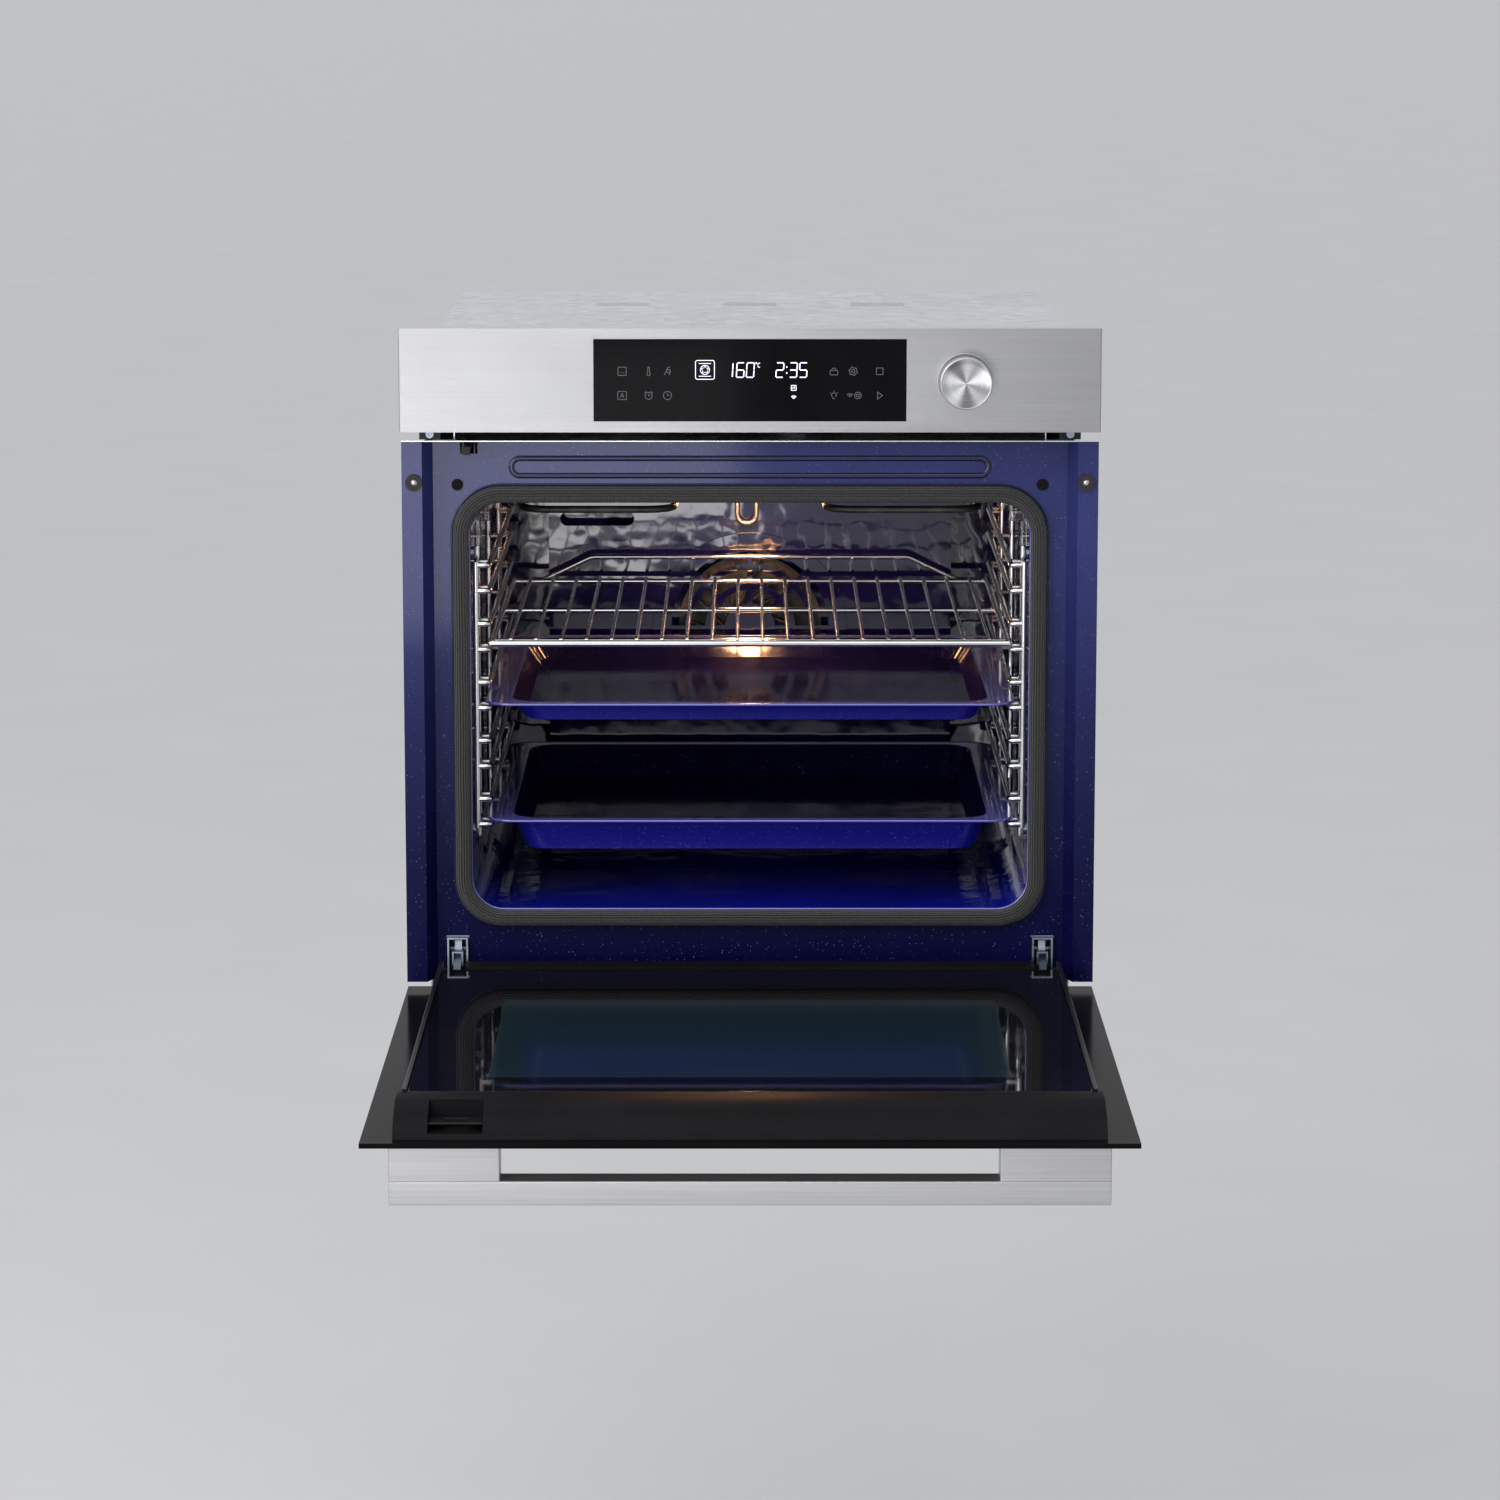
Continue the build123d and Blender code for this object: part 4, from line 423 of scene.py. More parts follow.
def makeGasketBraid():
    # glass-fibre braid: two crossing sets of fine threads, laid along the tube by the mesh's own UVs
    material, tree, shader = newMaterial("gasketBraid", {"Roughness": 0.78, "Sheen Weight": 0.15,
                                                         "Sheen Roughness": 0.5})
    coords = addNode(tree, "TexCoord")
    axes = addNode(tree, "SeparateXYZ")
    join(tree, (coords.outputs["UV"], axes.inputs[0]))
    # threads run along the tube, wander a little, and are crossed by finer ones
    wander = addNode(tree, "TexNoise", {"Scale": 30.0, "Detail": 2.0})
    join(tree, (coords.outputs["Object"], wander.inputs["Vector"]))
    turn = mathNode(tree, "ADD", axes.outputs[1], mathNode(tree, "MULTIPLY", wander.outputs["Fac"], 0.03))
    threads = mathNode(tree, "SINE", mathNode(tree, "MULTIPLY", turn, 2 * math.pi * 20))
    ties = mathNode(tree, "SINE", mathNode(tree, "MULTIPLY", axes.outputs[0], 2 * math.pi * 520))
    weave = mathNode(tree, "ADD", mathNode(tree, "MULTIPLY", threads, 0.85),
                     mathNode(tree, "MULTIPLY", ties, 0.25))
    fibre = addNode(tree, "TexNoise", {"Scale": 900.0, "Detail": 3.0})
    join(tree, (coords.outputs["Object"], fibre.inputs["Vector"]))
    tone = scaleAdd(tree, weave, 0.42, fibre.outputs["Fac"])
    base = mixColour(tree, rampNode(tree, tone, [(0.25, 0.0), (0.85, 1.0)]),
                     (0.003, 0.003, 0.003, 1), (0.052, 0.049, 0.048, 1))
    join(tree, (base, shader.inputs["Base Color"]))
    under = bumpInto(tree, shader, fibre.outputs["Fac"], 0.4, 0.0004)
    bumpInto(tree, shader, weave, 1.0, 0.0012, under)
    return material


def makeWool():
    material, tree, shader = newMaterial("mineralWool", {"Roughness": 0.95, "Sheen Weight": 0.2})
    coords = addNode(tree, "TexCoord")
    fibre = addNode(tree, "TexNoise", {"Scale": 160.0, "Detail": 8.0, "Roughness": 0.7, "Distortion": 1.5})
    join(tree, (coords.outputs["Object"], fibre.inputs["Vector"]))
    base = mixColour(tree, fibre.outputs["Fac"], (0.34, 0.29, 0.16, 1), (0.66, 0.6, 0.42, 1))
    join(tree, (base, shader.inputs["Base Color"]))
    bumpInto(tree, shader, fibre.outputs["Fac"], 0.9, 0.003)
    return material


def makeGlow(name, colour, strength):
    material, tree, shader = newMaterial(name, {"Base Color": (0.1, 0.1, 0.11, 1), "Roughness": 0.4,
                                                "Emission Strength": strength})
    marks = useGroup(tree, smudge, Scale=160.0)
    glow = mixColour(tree, mathNode(tree, "MULTIPLY", marks.outputs["Mask"], 0.2), colour + (1,),
                     (0, 0, 0, 1))
    join(tree, (glow, shader.inputs["Emission Color"]))
    return material


def makeLampGlass():
    material, tree, shader = newMaterial("lampGlass",
                                         {"Roughness": 0.2, "IOR": 1.47, "Emission Strength": 6.0})
    coords = addNode(tree, "TexCoord")
    flutes = addNode(tree, "TexWave", {"Scale": 60.0, "Distortion": 0.4}, wave_type="RINGS",
                     rings_direction="Z")
    join(tree, (coords.outputs["Object"], flutes.inputs["Vector"]))
    tint = mixColour(tree, flutes.outputs["Fac"], (1.0, 0.62, 0.3, 1), (1.0, 0.78, 0.52, 1))
    join(tree, (tint, shader.inputs["Base Color"]), (tint, shader.inputs["Emission Color"]))
    bumpInto(tree, shader, flutes.outputs["Fac"], 0.3, 0.0006)
    return material


displayGlass = makeDisplayGlass()
doorGlass = makeDoorGlass()
paneGlass = makePaneGlass()
gasketBraid = makeGasketBraid()
mineralWool = makeWool()
lampGlass = makeLampGlass()
litIcon = makeGlow("litIcon", (0.80, 0.80, 1.0), 2.2)
dimIcon = makeGlow("dimIcon", (0.30, 0.30, 0.34), 0.25)

# the finish of each CAD node that shows as it is
finishGroups = (
    (zincSheet, "housing_base housing_sides housing_top housing_rear lamp_housing blower_housing"),
    (hingeSteel, "panel_screws rack_studs knob_shaft hinge_receivers hinge_arms hinge_cases "
                 "hinge_rods hinge_clip_left hinge_clip_right handle_screws"),
    (frontEnamel, "front_frame"),
    (greyRubber, "flange_grommets"),
    (blackTrim, "frame_plugs panel_carrier knob_encoder cable_inlet door_bottom_rail door_top_cap"),
    (cavityEnamel, "cavity_liner rear_baffle"),
    (gasketBraid, "door_gasket"),
    (mineralWool, "insulation_blanket"),
    (heaterSheath, "convection_impeller ring_heater grill_element bottom_element lock_housing"),
    (motorSteel, "convection_motor temperature_probe cooling_motor hinge_springs"),
    (lampGlass, "lamp_bulb lamp_lens"),
    (chrome, "side_racks wire_shelf"),
    (trayEnamel, "baking_tray deep_tray"),
    (fasciaSteel, "control_fascia"),
    (displayGlass, "display_glass"),
    (circuitGreen, "power_board"),
    (handleSteel, "knob_bezel control_knob handle_bar handle_brackets"),
    (whitePlastic, "knob_sleeve terminal_box"),
    (brightSheet, "air_guide"),
    (aluminium, "cooling_rotor"),
    (doorGlass, "door_outer_glass door_middle_glass"),
    (paneGlass, "door_inner_glass"),
    (blackPaint, "door_rails door_keeper lock_hook"),
)
nodeFinish = {node: finish for finish, nodes in finishGroups for node in nodes.split()}
for node, finish in nodeFinish.items():
    for slot in frame["nodes"][node].material_slots:
        slot.material = finish
print("finishes on", len(nodeFinish), "nodes")


# tools that make the pieces

bodyOf = {node: body for body, nodes in frame["record"]["behaviour"]["bodies"].items() for node in nodes}


def newPiece(name, bm, finish, body, replaced=()):
    mesh = bpy.data.meshes.new(name)
    bm.to_mesh(mesh)
    bm.free()
    piece = bpy.data.objects.new(name, mesh)
    scene.collection.objects.link(piece)
    mesh.materials.append(finish)
    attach(piece, body)
    if replaced:
        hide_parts(*replaced)
    return piece


def smoothShade(bm, sharp=0.6):
    for face in bm.faces:
        face.smooth = True
    for edge in bm.edges:
        edge.smooth = len(edge.link_faces) == 2 and edge.calc_face_angle(0) < sharp


def roundEdges(node, name, width, segments=2):
    # a CAD solid again, with its flat faces whole and its sharp edges rounded over
    bm = bmesh.new()
    bm.from_mesh(frame["nodes"][node].data)
    bmesh.ops.remove_doubles(bm, verts=bm.verts, dist=2e-6)
    bmesh.ops.dissolve_limit(bm, angle_limit=0.02, verts=bm.verts, edges=bm.edges)
    smoothShade(bm, 0.5)
    piece = newPiece(name, bm, nodeFinish[node], bodyOf[node], (node,))
    bevel = piece.modifiers.new("edges", "BEVEL")
    bevel.width, bevel.segments, bevel.limit_method = width, segments, "ANGLE"
    bevel.angle_limit, bevel.harden_normals, bevel.use_clamp_overlap = 0.55, True, True
    return piece


def roundedLoop(halfWide, halfHigh, radius, perCorner=14, perSide=40):
    # points and outward directions round a rectangle with round corners, anticlockwise in X and Z
    points = []
    corners = ((1, 1, 0), (-1, 1, 1), (-1, -1, 2), (1, -1, 3))
    for signX, signZ, turn in corners:
        centre = Vector((signX * (halfWide - radius), signZ * (halfHigh - radius)))
        for step in range(perCorner + 1):
            angle = (turn + step / perCorner) * math.pi / 2
            way = Vector((math.cos(angle), math.sin(angle)))
            points.append((centre + way * radius, way))
        nextX, nextZ, _ = corners[(turn + 1) % 4]
        goal = Vector((nextX * (halfWide - radius), nextZ * (halfHigh - radius))) + way * radius
        first = points[-1][0]
        for step in range(1, perSide):
            points.append((first.lerp(goal, step / perSide), way.copy()))
    return points


def sweepLoop(path, section, centre):
    # carries a closed section, (outward, depth) pairs, round a closed path; UVs run in metres
    bm = bmesh.new()
    uvLayer = bm.loops.layers.uv.new("alongTube")
    rings, lengths = [], [0.0]
    for index, (point, way) in enumerate(path):
        ring = [bm.verts.new((centre[0] + point.x + way.x * out, centre[1] + deep,
                              centre[2] + point.y + way.y * out))
                for out, deep in section(index)]
        rings.append(ring)
        lengths.append(lengths[-1] + (path[(index + 1) % len(path)][0] - point).length)
    around = len(rings[0])
    for index, ring in enumerate(rings):
        after = rings[(index + 1) % len(rings)]
        for side in range(around):
            face = bm.faces.new((ring[side], ring[(side + 1) % around], after[(side + 1) % around],
                                 after[side]))
            spots = ((lengths[index], side), (lengths[index], side + 1), (lengths[index + 1], side + 1),
                     (lengths[index + 1], side))
            for loop, (along, turn) in zip(face.loops, spots):
                loop[uvLayer].uv = (along, turn / around)
    bmesh.ops.recalc_face_normals(bm, faces=bm.faces)
    smoothShade(bm, 3.0)
    return bm


def latheY(profile, centre, steps=96):
    # turns (radius, depth) pairs about a line along Y
    bm = bmesh.new()
    rings = []
    for radius, deep in profile:
        if radius == 0:
            rings.append([bm.verts.new((centre[0], deep, centre[1]))])
            continue
        rings.append([bm.verts.new((centre[0] + radius * math.cos(2 * math.pi * step / steps), deep,
                                    centre[1] + radius * math.sin(2 * math.pi * step / steps)))
                      for step in range(steps)])
    for before, after in zip(rings, rings[1:]):
        for step in range(steps):
            following = (step + 1) % steps
            corners = [before[step % len(before)], before[following % len(before)],
                       after[following % len(after)], after[step % len(after)]]
            corners = list(dict.fromkeys(corners))
            if len(corners) > 2:
                bm.faces.new(corners)
    bmesh.ops.recalc_face_normals(bm, faces=bm.faces)
    smoothShade(bm, 0.6)
    return bm


def strokeInto(bm, points, width, depthY, closed=False):
    # a flat ribbon along points in X and Z, mitred at its corners
    count = len(points)
    left, right = [], []
    for index, point in enumerate(points):
        here = Vector(point)
        before = Vector(points[index - 1]) if (index or closed) else None
        after = Vector(points[(index + 1) % count]) if (index < count - 1 or closed) else None
        steps = [(a, b) for a, b in ((before, here), (here, after)) if a is not None and b is not None]
        ways = [(b - a).normalized() for a, b in steps]
        normals = [Vector((-way.y, way.x)) for way in ways]
        mitre = sum(normals, Vector((0, 0)))
        mitre = mitre.normalized() if mitre.length > 1e-6 else normals[0]
        reach = width / 2 / max(0.4, mitre.dot(normals[0]))
        left.append(bm.verts.new((here.x + mitre.x * reach, depthY, here.y + mitre.y * reach)))
        right.append(bm.verts.new((here.x - mitre.x * reach, depthY, here.y - mitre.y * reach)))
    for index in range(count if closed else count - 1):
        following = (index + 1) % count
        bm.faces.new((left[index], left[following], right[following], right[index]))


def arcPoints(centre, radius, start, finish, steps=20):
    return [(centre[0] + radius * math.cos(math.radians(start + (finish - start) * step / steps)),
             centre[1] + radius * math.sin(math.radians(start + (finish - start) * step / steps)))
            for step in range(steps + 1)]


def boxPoints(centre, halfWide, halfHigh, radius):
    return [point for turn, (signX, signZ) in enumerate(((1, 1), (-1, 1), (-1, -1), (1, -1)))
            for point in arcPoints((centre[0] + signX * (halfWide - radius),
                                    centre[1] + signZ * (halfHigh - radius)),
                                   radius, turn * 90, turn * 90 + 90, 4)]


def ringPoints(halfWide, halfDeep, count):
    # an ellipse as points; a negative depth runs it the other way round
    turns = [2 * math.pi * side / count for side in range(count)]
    return [(halfWide * math.cos(turn), halfDeep * math.sin(turn)) for turn in turns]


# sheet-metal, glass and plastic parts get their rounded edges

edgeWidths = {
    "control_fascia": ("controlPanel", 0.0007), "front_frame": ("frontFrame", 0.0005),
    "door_top_cap": ("doorTopCap", 0.0012), "handle_bar": ("handleBar", 0.0009),
    "handle_brackets": ("handleBrackets", 0.0006), "door_rails": ("doorRails", 0.0005),
    "door_outer_glass": ("outerGlass", 0.0006), "door_inner_glass": ("innerGlass", 0.0006),
    "display_glass": ("displayWindow", 0.0004), "baking_tray": ("bakingTray", 0.0007),
    "deep_tray": ("deepTray", 0.0007), "door_bottom_rail": ("doorBottomRail", 0.0006),
    "door_keeper": ("latchPocket", 0.0004), "terminal_box": ("terminalBox", 0.0008),
    "blower_housing": ("blowerHousing", 0.0008), "air_guide": ("airGuide", 0.0003),
    "rear_baffle": ("rearBaffle", 0.0006), "knob_bezel": ("knobBezel", 0.0003),
}
for node, (name, width) in edgeWidths.items():
    roundEdges(node, name, width)


rimDepth = 0.0018


def darkenInside(name, node):
    # the faces inside a tray get a darker enamel than its outside, and its flat rim gets the paler enamel
    # as a painted highlight
    piece = bpy.data.objects[name]
    low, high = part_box(node)
    middle = (low + high) / 2
    piece.data.materials.append(trayInside)
    piece.data.materials.append(paintedHighlightEnamel)
    for face in piece.data.polygons:
        spot, way = face.center, face.normal
        inwards = way.x * (middle.x - spot.x) + way.y * (middle.y - spot.y)
        below = spot.z < high.z - rimDepth
        if below and (way.z > 0.9 or (abs(way.z) < 0.85 and inwards > 0 and way.z > -0.01)):
            face.material_index = 1
        # painted highlight: the flat rim's top faces take the paler enamel
        if not below and way.z > 0.9:
            face.material_index = 2


darkenInside("bakingTray", "baking_tray")
darkenInside("deepTray", "deep_tray")


tabSize = {"underside": 0.011, "front": -0.003}


def darkenTabs():
    # the fascia's fixing tabs sit in the shadow of the air outlet and get black paint there as painted
    # shade
    panel = bpy.data.objects["controlPanel"].data
    panel.materials.append(blackPaint)
    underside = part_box("air_guide")[0].z + tabSize["underside"]
    for face in panel.polygons:
        if face.center.z < underside and face.center.y > tabSize["front"]:
            face.material_index = 1


darkenTabs()
print("rounded", len(edgeWidths), "parts")


# door seal: a knitted tube clipped round the oven mouth

gasketSize = {"cornerRadius": 0.0352, "tubeHalf": 0.0072, "around": 28, "seamAt": 0.021,
              "seamHalf": 0.0012, "pinch": 0.07, "waviness": 0.02}


def makeGasket():
    low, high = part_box("door_gasket")
    halfTube = gasketSize["tubeHalf"]
    halfDeep = (high.y - low.y) / 2
    centre = ((low.x + high.x) / 2, (low.y + high.y) / 2, (low.z + high.z) / 2)
    path = roundedLoop((high.x - low.x) / 2 - halfTube, (high.z - low.z) / 2 - halfTube,
                       gasketSize["cornerRadius"], 20, 120)

    def section(index):
        spot = path[index][0]
        wave = 1 - gasketSize["waviness"] * (0.5 + 0.5 * math.sin(index * 0.21) * math.cos(index * 0.083))
        if spot.y < 0 and abs(spot.x - gasketSize["seamAt"]) < gasketSize["seamHalf"]:
            wave -= gasketSize["pinch"]
        ring = []
        for side in range(gasketSize["around"]):
            angle = 2 * math.pi * side / gasketSize["around"]
            across, deep = math.cos(angle), -math.sin(angle)
            if deep > 0:
                deep = deep ** 0.45
            ring.append((halfTube * across * wave, halfDeep * deep * (wave if deep < 0 else 1)))
        return ring

    return newPiece("doorGasket", sweepLoop(path, section, centre), gasketBraid, "oven_body",
                    ("door_gasket",))


makeGasket()

# the turned-over edge of the oven mouth, just inside the seal, in the paler enamel as a painted highlight

mouthSize = {"rodRadius": 0.0011, "cornerRadius": 0.0278, "around": 10, "halfWide": 0.2416,
             "bottom": 0.0846, "top": 0.4424, "front": 0.0166}


def makeMouthLip():
    reach, around = mouthSize["rodRadius"], mouthSize["around"]
    bottom, top = mouthSize["bottom"], mouthSize["top"]
    path = roundedLoop(mouthSize["halfWide"], (top - bottom) / 2, mouthSize["cornerRadius"], 14, 60)
    centre = (0, mouthSize["front"], (top + bottom) / 2)

    def section(index):
        return ringPoints(reach, reach, around)

    return newPiece("mouthLip", sweepLoop(path, section, centre), paintedHighlightEnamel, "oven_body")


makeMouthLip()

# pressed beads of the front frame: one round the seal, and the long one under the air outlet, both in a
# dark enamel as painted shade of a pressed channel

beadSize = {"sealHalf": 0.0009, "sealOut": 0.0009, "sealCorner": 0.0425, "longHalf": 0.0023,
            "longProud": 0.0013, "longWide": 0.2045, "longHigh": 0.0075, "longCorner": 0.0074,
            "longZ": 0.4722, "lift": 0.0002}


def makeBead(name, halfWide, halfHigh, corner, centre, half, proud, perSide=60):
    def section(index):
        return ringPoints(half, -proud, 16)

    path = roundedLoop(halfWide, halfHigh, corner, 16, perSide)
    return newPiece(name, sweepLoop(path, section, centre), grooveShadeEnamel, "oven_body")


def makeFrameBeads():
    low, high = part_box("door_gasket")
    out = beadSize["sealOut"]
    makeBead("sealSeat", (high.x - low.x) / 2 + out, (high.z - low.z) / 2 + out, beadSize["sealCorner"],
             (0, high.y, (low.z + high.z) / 2), beadSize["sealHalf"], beadSize["sealHalf"])
    makeBead("longBead", beadSize["longWide"], beadSize["longHigh"], beadSize["longCorner"],
             (0, high.y + beadSize["lift"], beadSize["longZ"]), beadSize["longHalf"],
             beadSize["longProud"], 4)


makeFrameBeads()

# rolled edges of the two trays, in the paler enamel as a painted highlight

rollSize = {"radius": 0.0011, "corner": 0.026, "around": 12, "sink": 0.0006}


def makeTrayRoll(name, node, body):
    low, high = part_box(node)
    radius = rollSize["radius"]
    path = roundedLoop((high.x - low.x) / 2 - radius, (high.y - low.y) / 2 - radius,
                       rollSize["corner"] - radius, 14, 8)

    def section(index):
        return ringPoints(radius, radius, rollSize["around"])

    bm = sweepLoop(path, section, (0, 0, 0))
    middle = (low + high) / 2
    for vert in bm.verts:
        vert.co = (middle.x + vert.co.x, middle.y + vert.co.z, high.z - rollSize["sink"] + vert.co.y)
    bmesh.ops.recalc_face_normals(bm, faces=bm.faces)
    return newPiece(name, bm, paintedHighlightEnamel, body)


makeTrayRoll("bakingTrayRoll", "baking_tray", bodyOf["baking_tray"])
makeTrayRoll("deepTrayRoll", "deep_tray", bodyOf["deep_tray"])

# control knob: turned aluminium, spun face, polished rim

knobSize = {"neck": 0.0190, "taper": 0.0214, "chamfer": 0.0008, "dish": 0.0004, "skirt": 0.0016,
            "step": 0.0004, "wall": 0.006, "lip": 0.00015, "sink": 0.0003, "faceDepth": 0.002}


def makeKnob():
    low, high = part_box("control_knob")
    radius = (high.x - low.x) / 2
    centre = ((low.x + high.x) / 2, (low.z + high.z) / 2)
    size, chamfer = knobSize, knobSize["chamfer"]
    faceEdge, faceStart = radius - chamfer * 2.2, low.y + size["sink"]
    profile = [(size["neck"], high.y), (size["neck"], high.y - size["skirt"]),
               (size["taper"], high.y - size["skirt"] - size["step"]), (radius, low.y + size["wall"]),
               (radius, low.y + chamfer), (radius - chamfer * 0.3, low.y + chamfer * 0.3),
               (radius - chamfer, low.y), (radius - chamfer * 1.8, low.y + size["lip"]),
               (faceEdge, faceStart)]
    for share in (0.75, 0.5, 0.25, 0.06):
        profile.append((faceEdge * share, faceStart + size["dish"] * (1 - share ** 2)))
    profile.append((0, faceStart + size["dish"]))
    bm = latheY(profile, centre, 128)
    piece = newPiece("controlKnob", bm, handleSteel, "knob", ("control_knob",))
    piece.data.materials.append(spunFace)
    for face in piece.data.polygons:
        middle = face.center
        away = math.hypot(middle.x - centre[0], middle.z - centre[1])
        if away < radius - chamfer * 1.9 and middle.y < low.y + size["faceDepth"]:
            face.material_index = 1
    return piece


def makeSpunFace():
    # fine turning rings, and pale rays painted into the colour as painted highlight streaks, as such rings
    # show them
    low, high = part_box("control_knob")
    material, tree, shader = newMaterial("spunFace",
                                         {"Metallic": 1.0, "Roughness": 0.3, "Anisotropic": 0.7})
    coords = addNode(tree, "TexCoord")
    moved = addNode(tree, "VectorMath", operation="SUBTRACT")
    moved.inputs[1].default_value = ((low.x + high.x) / 2, 0, (low.z + high.z) / 2)
    axes = addNode(tree, "SeparateXYZ")
    join(tree, (coords.outputs["Object"], moved.inputs[0]), (moved.outputs[0], axes.inputs[0]))
    angle = mathNode(tree, "ARCTAN2", axes.outputs[2], axes.outputs[0])
    # painted highlight: bright and dark rays by angle round the knob's centre
    slowTurn = scaleAdd(tree, angle, 2.0, 0.9)
    paintedRays = mathNode(tree, "ADD", mathNode(tree, "SINE", slowTurn),
                    mathNode(tree, "SINE", mathNode(tree, "MULTIPLY", angle, 5.0)))
    rings = addNode(tree, "TexNoise", {"Scale": 3000.0, "Detail": 3.0}, noise_dimensions="1D")
    flat = mathNode(tree, "SQRT", mathNode(tree, "ADD",
                                           mathNode(tree, "MULTIPLY", axes.outputs[0], axes.outputs[0]),
                                           mathNode(tree, "MULTIPLY", axes.outputs[2], axes.outputs[2])))
    join(tree, (flat, rings.inputs["W"]))
    tone = scaleAdd(tree, paintedRays, 0.22, rings.outputs["Fac"])
    base = mixColour(tree, rampNode(tree, tone, [(0.2, 0.0), (0.85, 1.0)]), (0.2, 0.2, 0.205, 1),
                     (0.8, 0.8, 0.81, 1))
    rough = scaleAdd(tree, rings.outputs["Fac"], 0.12, 0.24)
    join(tree, (base, shader.inputs["Base Color"]), (rough, shader.inputs["Roughness"]))
    bumpInto(tree, shader, rings.outputs["Fac"], 0.12, 0.0002)
    return material


spunFace = makeSpunFace()
makeKnob()

# fixing screws in the grommets, with domed heads

screwSize = {"head": 0.0022, "crown": 0.0009, "rimRadius": 0.0072, "proud": 0.0006, "depth": 0.0012}


def makeGrommetScrews():
    low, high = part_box("flange_grommets")
    for side, name in ((-1, "fixingScrewLeft"), (1, "fixingScrewRight")):
        size = screwSize
        centre = (side * (high.x - size["rimRadius"]), (low.z + high.z) / 2)
        face = low.y + size["proud"]
        profile = [(size["head"], face + size["depth"]), (size["head"], face)]
        for step in range(1, 6):
            angle = step / 6 * math.pi / 2
            profile.append((size["head"] * math.cos(angle), face - size["crown"] * math.sin(angle)))
        profile.append((0, face - size["crown"]))
        bm = latheY(profile, centre, 48)
        newPiece(name, bm, chrome, "oven_body")


makeGrommetScrews()
print("seal, mouth lip, knob and screws")

# what the display shows: digits and plain symbols, in millimetres from its centre

displayMarks = {"digitWide": 6.2, "digitHigh": 12.3, "stroke": 0.9, "iconStroke": 0.4, "proud": 0.00012}
segmentPaths = {"a": ((0, 1), (1, 1)), "b": ((1, 1), (1, 0.5)), "c": ((1, 0.5), (1, 0)),
                "d": ((0, 0), (1, 0)), "e": ((0, 0), (0, 0.5)),
                "f": ((0, 0.5), (0, 1)), "g": ((0, 0.5), (1, 0.5))}
digitSegments = {"0": "abcdef", "1": "bc", "2": "abged", "3": "abgcd", "5": "afgcd", "6": "afgedc",
                 "C": "afed"}


